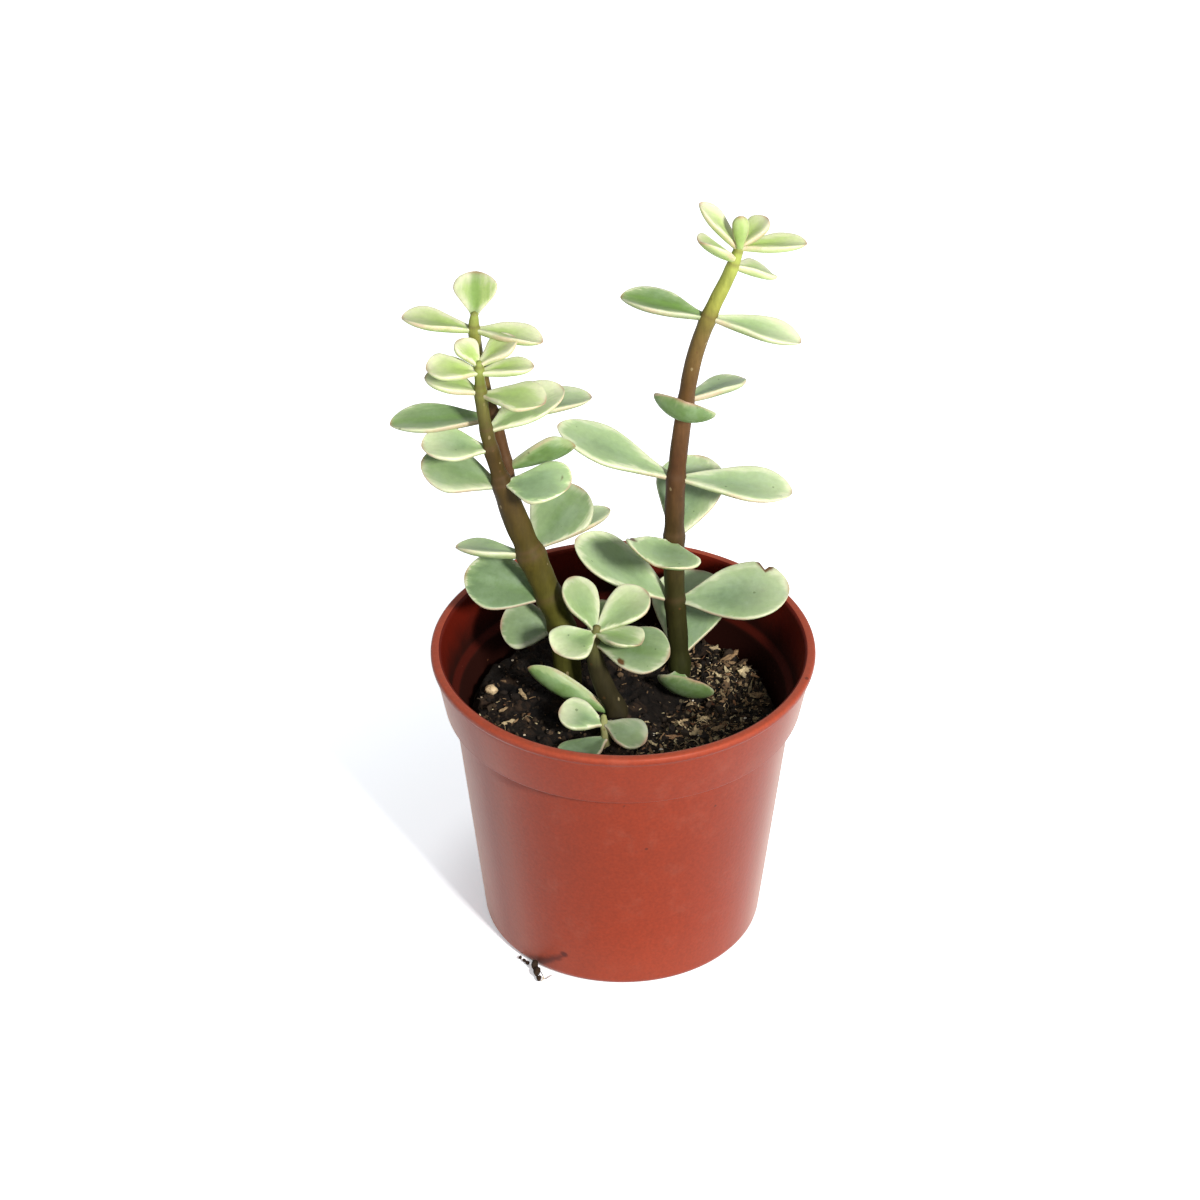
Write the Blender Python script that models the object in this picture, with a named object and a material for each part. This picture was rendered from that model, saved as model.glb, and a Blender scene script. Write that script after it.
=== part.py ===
"""A variegated elephant bush in a 5.5 cm nursery pot: pot, potting mix and four rooted stems.

The plant grew as four rooted pieces, so there is one node for each: a tall stem on the right,
a forked stem on the left, a short shoot in front with a rosette, and a seedling at its foot.
Each leaf is a thick obovate blade whose base is sunk in its stem, and the two are one solid.
"""

import bmesh
import bpy
import numpy as np

MM = 0.001

# Pot, turned about +Z with its foot on z = 0
POT_HEIGHT = 46.0 * MM
RIM_RADIUS = 27.5 * MM
LIP_WIDTH = 1.5 * MM
COLLAR_HEIGHT = 9.0 * MM
COLLAR_FOOT_RADIUS = 25.6 * MM
BODY_TOP_RADIUS = 24.35 * MM
FOOT_RADIUS = 20.3 * MM
WALL = 0.9 * MM
FLOOR = 1.0 * MM
FOOT_ROUND = 1.0 * MM
FLOOR_ROUND = 0.6 * MM
COLLAR_ROUND = 0.3 * MM
LIP_HEIGHT = 1.4 * MM
LIP_STEP = 0.45 * MM
LIP_ROUND = 0.5 * MM
LEDGE_THICKNESS = 1.0 * MM
LEDGE_ROUND = 0.6 * MM
# Share of a corner's radius that is left outside the middle point of its rounding
CORNER_CUT = 0.3
POT_SIDES = 48
POT_SHARP_ANGLE = 30.0
DRAIN_HOLES = 6
DRAIN_RADIUS = 2.2 * MM
DRAIN_CIRCLE = 13.0 * MM

# Potting mix, a little smaller than the pot
SOIL_TOP = 35.0 * MM
SOIL_TOP_RADIUS = 22.2 * MM
SOIL_FOOT_RADIUS = 18.6 * MM
SOIL_FLOOR_GAP = 0.3 * MM
SOIL_CORNER = 0.8 * MM
SOIL_SHOULDER = 1.6 * MM
SOIL_TOP_SHARE = 0.985
SOIL_RINGS = 9
SOIL_SIDES = 44
# Waves round the edge: share of the radius, waves per turn and phase in radians
SOIL_EDGE_WAVES = (
    (0.012, 5, 0.7),
    (0.010, 9, 2.0),
)
# Waves of the surface: height in mm, radians per mm along x and along y, and phase in radians
SOIL_WAVES = (
    (0.11, 1.05, 0.85, 0.2),
    (0.11, 1.05, -0.85, 1.0),
    (0.16, 1.9, -1.3, 0.0),
    (0.12, 1.5, 2.1, 2.57),
)
# Mounds and hollows of the surface: x, y, spread and height in mm
SOIL_BUMPS = (
    (-15.5, -7.5, 5.0, 1.1),
    (13.5, -6.5, 6.5, 0.9),
    (16.0, 6.0, 5.0, 0.8),
    (-3.0, 14.0, 6.0, 0.6),
    (6.5, -13.5, 4.5, 0.5),
    (-8.0, -2.5, 4.5, -2.0),
    (8.6, 1.0, 4.8, -3.2),
    (-5.0, -11.5, 4.4, -2.0),
)
# Plain holes for the stems: x, y, radius and floor height in mm
STEM_HOLES = (
    (8.5, 9.0, 2.0, 11.7),
    (-8.0, 4.5, 2.5, 11.7),
    (-0.9, -1.2, 2.1, 19.7),
    (-2.4, -7.6, 1.1, 27.7),
)
HOLE_SIDES = 12

# Stem paths, as x, y, z and radius in mm from the buried foot to the growing tip
RIGHT_PATH = (
    (8.5, 9.0, 12.0, 0.9),
    (8.5, 9.0, 28.0, 1.4),
    (8.4, 9.0, 35.5, 1.5),
    (7.6, 9.4, 47.3, 1.5),
    (7.3, 9.8, 57.5, 1.5),
    (7.5, 9.6, 68.2, 1.35),
    (8.4, 8.9, 79.1, 1.2),
    (9.7, 8.2, 88.5, 1.15),
    (11.9, 7.7, 96.3, 1.1),
    (14.3, 7.5, 102.3, 0.9),
    (15.7, 7.6, 106.7, 0.6),
)
LEFT_PATH = (
    (-8.0, 4.5, 12.0, 1.1),
    (-8.0, 4.5, 27.0, 1.9),
    (-8.0, 4.5, 38.0, 2.0),
    (-8.9, 4.5, 46.5, 2.0),
    (-11.1, 4.5, 53.0, 2.0),
    (-13.6, 4.5, 60.0, 1.9),
    (-15.8, 4.5, 66.5, 1.75),
    (-17.4, 4.4, 72.0, 1.25),
    (-18.7, 4.2, 77.5, 1.0),
    (-19.5, 4.0, 83.0, 0.9),
    (-19.8, 3.8, 88.0, 0.75),
    (-19.8, 3.8, 90.5, 0.5),
)
BRANCH_PATH = (
    (-15.6, 5.0, 65.0, 1.0),
    (-16.2, 6.8, 70.0, 1.0),
    (-17.4, 8.0, 76.0, 0.95),
    (-18.9, 8.4, 82.0, 0.9),
    (-20.1, 8.4, 88.0, 0.9),
    (-20.6, 8.2, 93.0, 0.8),
    (-20.5, 8.0, 95.8, 0.5),
)
SHOOT_PATH = (
    (-0.9, -1.2, 20.0, 1.0),
    (-0.9, -1.2, 30.0, 1.5),
    (-1.0, -1.2, 35.5, 1.6),
    (-2.4, -1.5, 39.0, 1.5),
    (-3.7, -1.8, 43.5, 1.3),
    (-4.2, -2.0, 47.5, 1.0),
    (-3.7, -2.2, 50.7, 0.5),
)
SEEDLING_PATH = (
    (-2.4, -7.6, 28.0, 0.6),
    (-2.4, -7.6, 35.0, 0.7),
    (-2.7, -6.8, 36.8, 0.6),
    (-2.8, -6.4, 38.2, 0.4),
)
PATH_STEPS = 2
STEM_SIDES = 8
STEM_TIP = 0.7

# Leaves of each stem: height of the base in mm, azimuth and pitch in degrees, length and width
# in mm, roll, curl along the blade and cup across it in degrees
RIGHT_LEAVES = (
    (37.2, 78, 29, 14.5, 11.8, 0, 0, 20),
    (35.7, -99, -25, 10.8, 9.0, -26, 112, 25),
    (47.3, 166, 30, 16.5, 8.5, -15, 0, 20),
    (47.3, 0, 8, 16.0, 9.5, 30, 0, 15),
    (57.5, -106, 9, 10.5, 11.5, -12, 10, 25),
    (57.5, 68, 38, 13.0, 10.5, 0, 0, 20),
    (68.1, 163, 13, 18.0, 7.8, -5, 12, 20),
    (68.1, -4, -6, 16.0, 8.0, 5, 0, 20),
    (81.4, -106, -20, 8.8, 9.6, -17, 110, 35),
    (81.4, 38, -1, 10.0, 5.4, -10, 0, 20),
    (95.2, 168, 9, 12.0, 5.8, -5, 0, 40),
    (95.2, -8, -13, 12.7, 6.2, 0, 0, 30),
    (104.6, -150, 37, 7.0, 5.4, 0, 0, 30),
    (103.3, 30, -26, 7.0, 5.4, 0, 0, 20),
    (106.2, 160, 46, 8.0, 3.8, 0, 0, 30),
    (106.2, 0, 4, 8.9, 4.6, 0, 0, 30),
    (106.4, -90, 80, 5.4, 2.4, 0, 0, 20),
    (106.4, 32, 38, 5.2, 4.2, 0, 0, 20),
)
LEFT_LEAVES = (
    (45.7, 175, 3, 8.0, 7.7, -35, 0, 15),
    (51.0, 172, 15, 11.9, 9.0, -30, 0, 15),
    (58.3, 178, 7, 10.0, 5.0, 10, 0, 30),
    (59.0, 47, 33, 11.3, 10.0, 10, 0, 15),
    (59.4, 38, 5, 13.7, 4.8, 0, 0, 20),
    (70.7, -28, 14, 10.6, 8.3, 15, 0, 15),
    (70.0, 172, 16, 11.4, 7.8, -22, 0, 15),
    (76.2, -172, 9, 9.4, 6.4, -16, 0, 25),
    (79.3, 25, 20, 12.0, 7.6, 5, 0, 20),
    (85.3, -22, 5, 9.3, 6.8, 5, 0, 25),
    (85.6, 172, 14, 7.7, 6.0, 0, 0, 25),
    (88.9, -172, 10, 7.2, 5.6, -10, 0, 25),
    (88.8, 8, 4, 7.3, 4.4, 0, 0, 25),
    (90.0, 140, 35, 4.5, 4.0, 0, 0, 25),
    (90.2, 25, 28, 6.0, 5.2, 0, 0, 25),
)
BRANCH_LEAVES = (
    (71.5, 6, 17, 9.8, 6.6, -55, 0, 35),
    (78.8, -177, -2, 14.2, 6.6, -5, 0, 30),
    (79.5, 11, 5, 13.8, 6.3, 0, 0, 25),
    (86.0, 60, -10, 6.0, 6.0, 0, 0, 20),
    (93.0, 177, 10, 9.8, 5.5, 0, 0, 35),
    (93.0, -8, -7, 9.3, 5.5, 0, 0, 40),
    (95.4, 84, 62, 6.0, 6.2, 0, 0, 20),
)
SHOOT_LEAVES = (
    (50.0, 122, 38, 8.5, 5.6, 0, 0, 20),
    (50.0, 30, 26, 9.0, 6.8, 10, 0, 20),
    (49.5, -140, 1, 7.2, 7.2, -12, 0, 20),
    (49.5, -33, 8, 7.5, 6.4, -4, 0, 30),
    (47.8, -20, 2, 11.0, 8.0, 25, 0, 15),
    (48.0, 78, 22, 7.0, 4.5, 0, 0, 15),
    (35.2, -175, 25, 14.0, 5.2, 62, 22, 50),
)
SEEDLING_LEAVES = (
    (37.0, 172, 14, 6.5, 6.0, -15, 0, 20),
    (37.0, -24, -12, 6.4, 5.8, 12, 0, 20),
    (35.1, -135, 0, 8.4, 6.2, 0, 0, 20),
)
LEAF_THICKNESS = 1.5 * MM
PETIOLE_RADIUS = 0.65 * MM
LEAF_STATIONS = (0.0, 0.13, 0.3, 0.47, 0.64, 0.8, 0.93)
LEAF_SIDES = 8
# Exponents of the outline: above 1 moves the widest place outwards, below 1 fills the ends
LEAF_TAPER = 1.6
LEAF_FULLNESS = 0.55
# Where along a half sine the thickness starts at the base, and how much of it the blade covers
THICK_START = 0.12
THICK_SPAN = 0.86
CURL_STEPS = 100
# Share of the stem's radius from its middle to a leaf's base
BASE_SINK = 0.5

# Material slots of each leafy stem
BARK_SLOT = 0
LEAF_SLOT = 1


def clear_scene():
    for old in list(bpy.data.objects):
        bpy.data.objects.remove(old, do_unlink=True)


def make_material(name, colour, roughness):
    """A Principled material with one plain colour, given as linear RGB."""
    material = bpy.data.materials.new(name)
    material.use_nodes = True
    shader = material.node_tree.nodes["Principled BSDF"]
    shader.inputs["Base Color"].default_value = (*colour, 1.0)
    shader.inputs["Roughness"].default_value = roughness
    shader.inputs["Metallic"].default_value = 0.0
    return material


def make_object(name, points, faces, materials, face_slot=0):
    mesh = bpy.data.meshes.new(name)
    mesh.from_pydata([tuple(p) for p in points], [], faces)
    for material in materials:
        mesh.materials.append(material)
    for polygon in mesh.polygons:
        polygon.material_index = face_slot
    mesh.validate()
    shape = bpy.data.objects.new(name, mesh)
    bpy.context.scene.collection.objects.link(shape)
    return shape


def finish_surface(shape, sharp_angle=40.0):
    """Turn the faces outwards and shade the round parts smooth."""
    mesh = shape.data
    work = bmesh.new()
    work.from_mesh(mesh)
    bmesh.ops.recalc_face_normals(work, faces=work.faces)
    work.to_mesh(mesh)
    work.free()
    mesh.shade_smooth()
    mesh.set_sharp_from_angle(angle=np.radians(sharp_angle))


def bake_modifiers(shape):
    """Replace the object's mesh by what its modifiers make of it."""
    graph = bpy.context.evaluated_depsgraph_get()
    baked = bpy.data.meshes.new_from_object(shape.evaluated_get(graph))
    shape.modifiers.clear()
    shape.data = baked


def combine(shape, others, operation):
    """Join or cut with every object in the list in one Boolean, then remove them."""
    group = bpy.data.collections.new(shape.name + "_tools")
    bpy.context.scene.collection.children.link(group)
    for other in others:
        bpy.context.scene.collection.objects.unlink(other)
        group.objects.link(other)
    step = shape.modifiers.new(operation.lower(), "BOOLEAN")
    step.operand_type = "COLLECTION"
    step.collection = group
    step.operation = operation
    step.solver = "EXACT"
    bake_modifiers(shape)
    for other in others:
        bpy.data.objects.remove(other, do_unlink=True)
    bpy.data.collections.remove(group)


def turned(name, profile, sides, materials):
    """Revolve a profile of (radius, height) whose two ends lie on the axis."""
    angles = np.arange(sides) * 2 * np.pi / sides
    ring = np.stack([np.cos(angles), np.sin(angles)], axis=1)
    points = [(0.0, 0.0, profile[0][1])]
    for radius, height in profile[1:-1]:
        points += [(radius * x, radius * y, height) for x, y in ring]
    points.append((0.0, 0.0, profile[-1][1]))
    faces = []
    last = len(points) - 1
    rows = len(profile) - 2
    for k in range(sides):
        following = (k + 1) % sides
        faces.append((0, 1 + following, 1 + k))
        for row in range(rows - 1):
            low = 1 + row * sides
            high = low + sides
            faces.append((low + k, low + following, high + following, high + k))
        top = 1 + (rows - 1) * sides
        faces.append((top + k, top + following, last))
    return make_object(name, points, faces, materials)


def cylinder(name, x, y, radius, low, high, sides):
    angles = np.arange(sides) * 2 * np.pi / sides
    points = [(x + radius * np.cos(a), y + radius * np.sin(a), low) for a in angles]
    points += [(x + radius * np.cos(a), y + radius * np.sin(a), high) for a in angles]
    faces = [tuple(reversed(range(sides))), tuple(range(sides, 2 * sides))]
    faces += [(k, (k + 1) % sides, sides + (k + 1) % sides, sides + k) for k in range(sides)]
    cutter = make_object(name, points, faces, [])
    cutter.hide_render = True
    cutter.display_type = "WIRE"
    return cutter


def make_pot(material):
    """Tapered body, stepped collar, rolled lip, an inner ledge and drain holes in the floor."""
    collar_foot = POT_HEIGHT - COLLAR_HEIGHT
    lip_low = POT_HEIGHT - LIP_HEIGHT
    lip_inside = RIM_RADIUS - LIP_WIDTH
    body_inside = BODY_TOP_RADIUS - WALL
    floor_edge = FOOT_RADIUS - WALL
    foot_cut = CORNER_CUT * FOOT_ROUND
    lip_cut = CORNER_CUT * LIP_ROUND
    ledge = collar_foot + LEDGE_THICKNESS
    profile = [
        (0.0, 0.0),
        (FOOT_RADIUS - FOOT_ROUND, 0.0),
        (FOOT_RADIUS - foot_cut, foot_cut),
        (FOOT_RADIUS, FOOT_ROUND),
        (BODY_TOP_RADIUS, collar_foot - COLLAR_ROUND),
        (COLLAR_FOOT_RADIUS - COLLAR_ROUND, collar_foot),
        (COLLAR_FOOT_RADIUS, collar_foot + COLLAR_ROUND),
        (RIM_RADIUS - LIP_STEP, lip_low),
        (RIM_RADIUS, lip_low + LIP_STEP),
        (RIM_RADIUS - lip_cut, POT_HEIGHT - lip_cut),
        (RIM_RADIUS - LIP_ROUND, POT_HEIGHT),
        (lip_inside + LIP_ROUND, POT_HEIGHT),
        (lip_inside, POT_HEIGHT - LIP_ROUND),
        (COLLAR_FOOT_RADIUS - WALL, ledge + LEDGE_ROUND),
        (body_inside, ledge),
        (body_inside, collar_foot - LEDGE_ROUND),
        (floor_edge, FLOOR + FLOOR_ROUND),
        (floor_edge - FLOOR_ROUND, FLOOR),
        (0.0, FLOOR),
    ]
    pot = turned("pot", profile, POT_SIDES, [material])
    finish_surface(pot)
    cutters = []
    for k in range(DRAIN_HOLES):
        turn = 2 * np.pi * k / DRAIN_HOLES
        x = DRAIN_CIRCLE * np.cos(turn)
        y = DRAIN_CIRCLE * np.sin(turn)
        cutters.append(cylinder(f"drain_{k}", x, y, DRAIN_RADIUS, -FLOOR, 2 * FLOOR, HOLE_SIDES))
    combine(pot, cutters, "DIFFERENCE")
    finish_surface(pot, POT_SHARP_ANGLE)
    return pot


def soil_height(x, y):
    """Surface height: crossed waves of 3 to 8 mm, plus one Gaussian for each mound or hollow."""
    px = x / MM
    py = y / MM
    height = np.zeros_like(px)
    for rise, along_x, along_y, phase in SOIL_WAVES:
        height = height + rise * np.sin(along_x * px + along_y * py + phase)
    for cx, cy, spread, rise in SOIL_BUMPS:
        height = height + rise * np.exp(-((px - cx) ** 2 + (py - cy) ** 2) / spread**2)
    return SOIL_TOP + height * MM


def make_soil(material):
    """Root ball with an uneven top and edge, and a plain hole for each stem."""
    angles = np.arange(SOIL_SIDES) * 2 * np.pi / SOIL_SIDES
    level = np.ones(SOIL_SIDES)
    edge = level.copy()
    for share, waves, phase in SOIL_EDGE_WAVES:
        edge += share * np.sin(waves * angles + phase)
    foot = FLOOR + SOIL_FLOOR_GAP
    rings = [
        ((SOIL_FOOT_RADIUS - SOIL_CORNER) * level, foot * level),
        (SOIL_FOOT_RADIUS * level, (foot + SOIL_CORNER) * level),
        (SOIL_TOP_RADIUS * edge, (SOIL_TOP - SOIL_SHOULDER) * level),
    ]
    for k in range(SOIL_RINGS):
        radius = SOIL_TOP_RADIUS * (SOIL_TOP_SHARE - k / SOIL_RINGS) * edge
        rings.append((radius, soil_height(radius * np.cos(angles), radius * np.sin(angles))))
    points = [(0.0, 0.0, foot)]
    for radius, height in rings:
        points += list(zip(radius * np.cos(angles), radius * np.sin(angles), height))
    points.append((0.0, 0.0, float(soil_height(0.0, 0.0))))
    last = len(points) - 1
    faces = []
    for k in range(SOIL_SIDES):
        following = (k + 1) % SOIL_SIDES
        faces.append((0, 1 + following, 1 + k))
        for row in range(len(rings) - 1):
            low = 1 + row * SOIL_SIDES
            high = low + SOIL_SIDES
            faces.append((low + k, low + following, high + following))
            faces.append((low + k, high + following, high + k))
        top = 1 + (len(rings) - 1) * SOIL_SIDES
        faces.append((top + k, top + following, last))
    soil = make_object("soil", points, faces, [material])
    finish_surface(soil)
    cutters = []
    for number, (x, y, radius, floor) in enumerate(STEM_HOLES):
        name = f"stem_hole_{number}"
        low, high = floor * MM, POT_HEIGHT
        cutters.append(cylinder(name, x * MM, y * MM, radius * MM, low, high, HOLE_SIDES))
    combine(soil, cutters, "DIFFERENCE")
    finish_surface(soil)
    return soil


def smooth_path(points):
    """Catmull-Rom curve through the points, each span cut in PATH_STEPS."""
    p = np.array(points) * MM
    p = np.vstack([2 * p[0] - p[1], p, 2 * p[-1] - p[-2]])
    steps = np.linspace(0, 1, PATH_STEPS, endpoint=False)[:, None]
    spans = []
    for a, b, c, d in zip(p[:-3], p[1:-2], p[2:-1], p[3:]):
        cubic = 3 * b - a - 3 * c + d
        square = 2 * a - 5 * b + 4 * c - d
        spans.append(0.5 * (2 * b + (c - a) * steps + square * steps**2 + cubic * steps**3))
    return np.vstack(spans + [p[-2][None]])


def make_stem(name, path, materials):
    """A tube of round sections square to the path, with pointed caps."""
    centres, radii = path[:, :3], path[:, 3]
    along = np.gradient(centres, axis=0)
    along /= np.linalg.norm(along, axis=1)[:, None]
    across = np.array([1.0, 0.0, 0.0]) - along * along[:, :1]
    across /= np.linalg.norm(across, axis=1)[:, None]
    third = np.cross(along, across)
    angles = np.arange(STEM_SIDES) * 2 * np.pi / STEM_SIDES
    ring = across[:, None] * np.cos(angles)[:, None] + third[:, None] * np.sin(angles)[:, None]
    points = (centres[:, None] + radii[:, None, None] * ring).reshape(-1, 3)
    tip = centres[-1] + along[-1] * radii[-1] * STEM_TIP
    points = np.vstack([points, centres[0][None], tip[None]])
    faces = []
    last = (len(path) - 1) * STEM_SIDES
    for k in range(STEM_SIDES):
        following = (k + 1) % STEM_SIDES
        for low in range(0, last, STEM_SIDES):
            high = low + STEM_SIDES
            faces.append((low + k, low + following, high + following, high + k))
        faces.append((len(points) - 2, following, k))
        faces.append((last + k, last + following, len(points) - 1))
    return make_object(name, points, faces, materials, BARK_SLOT)


def leaf_axes(azimuth, pitch, roll):
    """Unit vectors along, across and up from a leaf, turned by its three angles."""
    turn, rise, lean = np.radians([azimuth, pitch, roll])
    level = np.cos(rise)
    along = np.array([level * np.cos(turn), level * np.sin(turn), np.sin(rise)])
    side = np.array([np.sin(turn), -np.cos(turn), 0.0])
    up = np.cross(side, along)
    across = side * np.cos(lean) - up * np.sin(lean)
    return along, across, up * np.cos(lean) + side * np.sin(lean)


def make_leaf(name, path, leaf, materials):
    """Thick obovate blade: at u from base to tip its half width is half the leaf's width times
    sin(pi u^taper) to the power of the fullness.

    Sections are flat ellipses wrapped round a circle for the cup, and the midrib is an arc that
    turns through the curl.
    """
    height, azimuth, pitch, length, width, roll, curl, cup = leaf
    length *= MM
    width *= MM
    along, across, up = leaf_axes(azimuth, pitch, roll)
    where = [np.interp(height * MM, path[:, 2], path[:, k]) for k in range(4)]
    turn = np.radians(azimuth)
    outwards = np.array([np.cos(turn), np.sin(turn), 0.0])
    base = np.array(where[:3]) + outwards * where[3] * BASE_SINK
    u = np.array(LEAF_STATIONS)
    blade = width / 2 * np.sin(np.pi * u**LEAF_TAPER) ** LEAF_FULLNESS
    half_width = np.hypot(blade, PETIOLE_RADIUS * (1 - u))
    thick_wave = np.sin(np.pi * (THICK_START + THICK_SPAN * u))
    half_thick = LEAF_THICKNESS / 2 * np.sqrt(thick_wave)
    fine = np.linspace(0, 1, CURL_STEPS + 1)
    bend = np.radians(curl) * fine
    run = np.concatenate([[0.0], np.cumsum(np.cos(bend[:-1]))]) / CURL_STEPS * length
    lift = np.concatenate([[0.0], np.cumsum(np.sin(bend[:-1]))]) / CURL_STEPS * length
    turned_up = np.radians(curl) * u
    local_up = up * np.cos(turned_up)[:, None] - along * np.sin(turned_up)[:, None]
    midrib = base + along * np.interp(u, fine, run)[:, None] + up * np.interp(u, fine, lift)[:, None]
    angles = np.arange(LEAF_SIDES) * 2 * np.pi / LEAF_SIDES
    wrap = np.radians(cup) * np.cos(angles)
    arc_radius = half_width[:, None] / np.radians(cup)
    sideways = arc_radius * np.sin(wrap)
    raised = arc_radius * (1 - np.cos(wrap)) + half_thick[:, None] * np.sin(angles)
    rings = midrib[:, None] + across * sideways[..., None] + local_up[:, None] * raised[..., None]
    tip = base + along * run[-1] + up * lift[-1]
    points = np.vstack([rings.reshape(-1, 3), midrib[:1], tip[None]])
    # The last two points close the base and the tip
    faces = []
    last = (len(u) - 1) * LEAF_SIDES
    for k in range(LEAF_SIDES):
        following = (k + 1) % LEAF_SIDES
        for low in range(0, last, LEAF_SIDES):
            high = low + LEAF_SIDES
            faces.append((low + k, high + k, high + following))
            faces.append((low + k, high + following, low + following))
        faces.append((len(points) - 2, k, following))
        faces.append((last + following, last + k, len(points) - 1))
    leaf_object = make_object(name, points, faces, materials, LEAF_SLOT)
    finish_surface(leaf_object)
    return leaf_object


def make_plant(name, branches, materials):
    """One node: stems and leaves fused by a single Boolean union."""
    pieces = []
    for number, (points, leaves) in enumerate(branches):
        path = smooth_path(points)
        stem = make_stem(f"{name}_axis_{number}", path, materials)
        finish_surface(stem)
        pieces.append(stem)
        for count, leaf in enumerate(leaves):
            pieces.append(make_leaf(f"{name}_leaf_{number}_{count}", path, leaf, materials))
    plant = pieces.pop(0)
    plant.name = name
    combine(plant, pieces, "UNION")
    finish_surface(plant)
    return plant


def main():
    clear_scene()
    terracotta = make_material("terracotta_plastic", (0.46, 0.085, 0.040), 0.42)
    peat = make_material("potting_mix", (0.030, 0.022, 0.016), 0.95)
    bark = make_material("green_brown_bark", (0.17, 0.115, 0.045), 0.6)
    foliage = make_material("variegated_leaf", (0.33, 0.44, 0.23), 0.45)
    make_pot(terracotta)
    make_soil(peat)
    plant = [bark, foliage]
    make_plant("right_stem", [(RIGHT_PATH, RIGHT_LEAVES)], plant)
    make_plant("left_stem", [(LEFT_PATH, LEFT_LEAVES), (BRANCH_PATH, BRANCH_LEAVES)], plant)
    make_plant("front_shoot", [(SHOOT_PATH, SHOOT_LEAVES)], plant)
    make_plant("seedling", [(SEEDLING_PATH, SEEDLING_LEAVES)], plant)


main()
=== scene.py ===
"""Looks of a potted elephant bush: moulded pot, loose potting mix and fleshy variegated leaves.

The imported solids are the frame. Each piece here repeats its solid's sizes, in millimetres, and adds
the surface that a solid of few faces can't hold.
"""

import bmesh
import bpy
import numpy as np
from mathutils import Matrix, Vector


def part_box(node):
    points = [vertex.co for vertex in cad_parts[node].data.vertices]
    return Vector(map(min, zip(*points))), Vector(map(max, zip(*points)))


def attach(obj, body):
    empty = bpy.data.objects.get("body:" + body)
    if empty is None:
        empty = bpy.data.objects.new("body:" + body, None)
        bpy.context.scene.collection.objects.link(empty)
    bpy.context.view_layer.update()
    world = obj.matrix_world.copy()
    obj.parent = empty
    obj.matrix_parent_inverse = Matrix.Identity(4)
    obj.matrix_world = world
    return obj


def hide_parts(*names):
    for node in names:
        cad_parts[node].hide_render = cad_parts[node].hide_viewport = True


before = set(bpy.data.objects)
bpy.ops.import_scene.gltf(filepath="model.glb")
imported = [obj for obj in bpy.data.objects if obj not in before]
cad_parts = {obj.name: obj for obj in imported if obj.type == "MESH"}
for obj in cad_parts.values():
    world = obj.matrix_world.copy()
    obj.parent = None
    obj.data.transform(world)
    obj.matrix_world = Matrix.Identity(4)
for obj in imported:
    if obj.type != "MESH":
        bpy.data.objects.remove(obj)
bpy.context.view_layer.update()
POT_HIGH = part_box("pot")[1]

bl_info = {
    "name": "Potted elephant bush",
    "version": (1, 0, 0),
    "blender": (4, 5, 0),
    "location": "View3D > Sidebar > Bush",
    "description": "Builds the pot, the potting mix and the leafy stems of a small elephant bush",
    "category": "Object",
}

MM = 0.001
BODY = "root"

# Pot profile in mm
LIP_WIDTH = 1.5
LIP_HEIGHT = 1.4
LIP_STEP = 0.45
LIP_ROUND = 0.6
COLLAR_FOOT_RADIUS = 25.6
BODY_TOP_RADIUS = 24.35
FOOT_RADIUS = 20.3
FOOT_ROUND = 1.0
FLOOR = 1.0
LEDGE_THICKNESS = 1.0
LEDGE_ROUND = 0.6
POT_SIDES = 192
DRAIN_SIDES = 40
CORNER_STEPS = 5
DRAIN_HOLES = 6
DRAIN_RADIUS = 2.2
DRAIN_CIRCLE = 13.0
# Angle in degrees past which an edge stays sharp
SHARP_ANGLE = 34
OUTER_SLOT = 0
INNER_SLOT = 1
SHADED_SLOT = 2
# Faces lean at least this far towards the axis, up or down to be inner plastic, or down to be shaded
INWARD_LEAN = 0.15
UPWARD_LEAN = 0.5
UNDERSIDE_LEAN = 0.9
SHADED_LEAN = 0.25

# Smear at the pot's foot: its rise to the right, its height at x 0 and its dark end, in metres
SMEAR_SLOPE = 0.86
SMEAR_HEIGHT = 0.0116
SMEAR_BLOB = (-0.0085, 0.0, 0.0046)

# Root ball in mm
SOIL_TOP = 35.0
SOIL_TOP_RADIUS = 22.2
SOIL_FOOT = 1.3
# Radius and height of each ring down the sides
SOIL_SIDES = ((20.6, 22.0), (18.6, 2.1), (17.8, 1.3))
# Share, waves round the edge and phase
SOIL_EDGE_WAVES = ((0.012, 5, 0.7), (0.010, 9, 2.0))
# Height, waves along x and y, and phase
SOIL_WAVES = (
    (0.11, 1.05, 0.85, 0.2),
    (0.11, 1.05, -0.85, 1.0),
    (0.16, 1.9, -1.3, 0.0),
    (0.12, 1.5, 2.1, 2.57),
)
# Mounds and hollows of the surface: x, y, spread and height
SOIL_BUMPS = (
    (-15.5, -7.5, 5.0, 1.1),
    (13.5, -6.5, 6.5, 0.9),
    (16.0, 6.0, 5.0, 0.8),
    (-3.0, 14.0, 6.0, 0.6),
    (6.5, -13.5, 4.5, 0.5),
    (-8.0, -2.5, 4.5, -2.0),
    (8.6, 1.0, 4.8, -3.2),
    (-5.0, -11.5, 4.4, -2.0),
)
# Peat crumbs: cell size, height and seed of each size of crumb
CRUMBS = ((4.3, 0.95, 10), (2.0, 0.60, 11), (0.95, 0.36, 12), (0.45, 0.16, 13))
# Share of each size of crumb in the lift and in the tone that colour the peat
CRUMB_SHARES = (0.30, 0.30, 0.25, 0.15)
TONE_SHARES = (0.0, 0.35, 0.35, 0.3)
# Lift, tone and litter share of the ball's sides; the low lift gives them the near-black colour between
# crumbs, painted shade in the gap at the wall
SIDE_TONE = (0.4, 0.3, 0.0)
CRUMB_WARP = 1.3
CRUMB_WARP_SEEDS = (21, 22)
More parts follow.
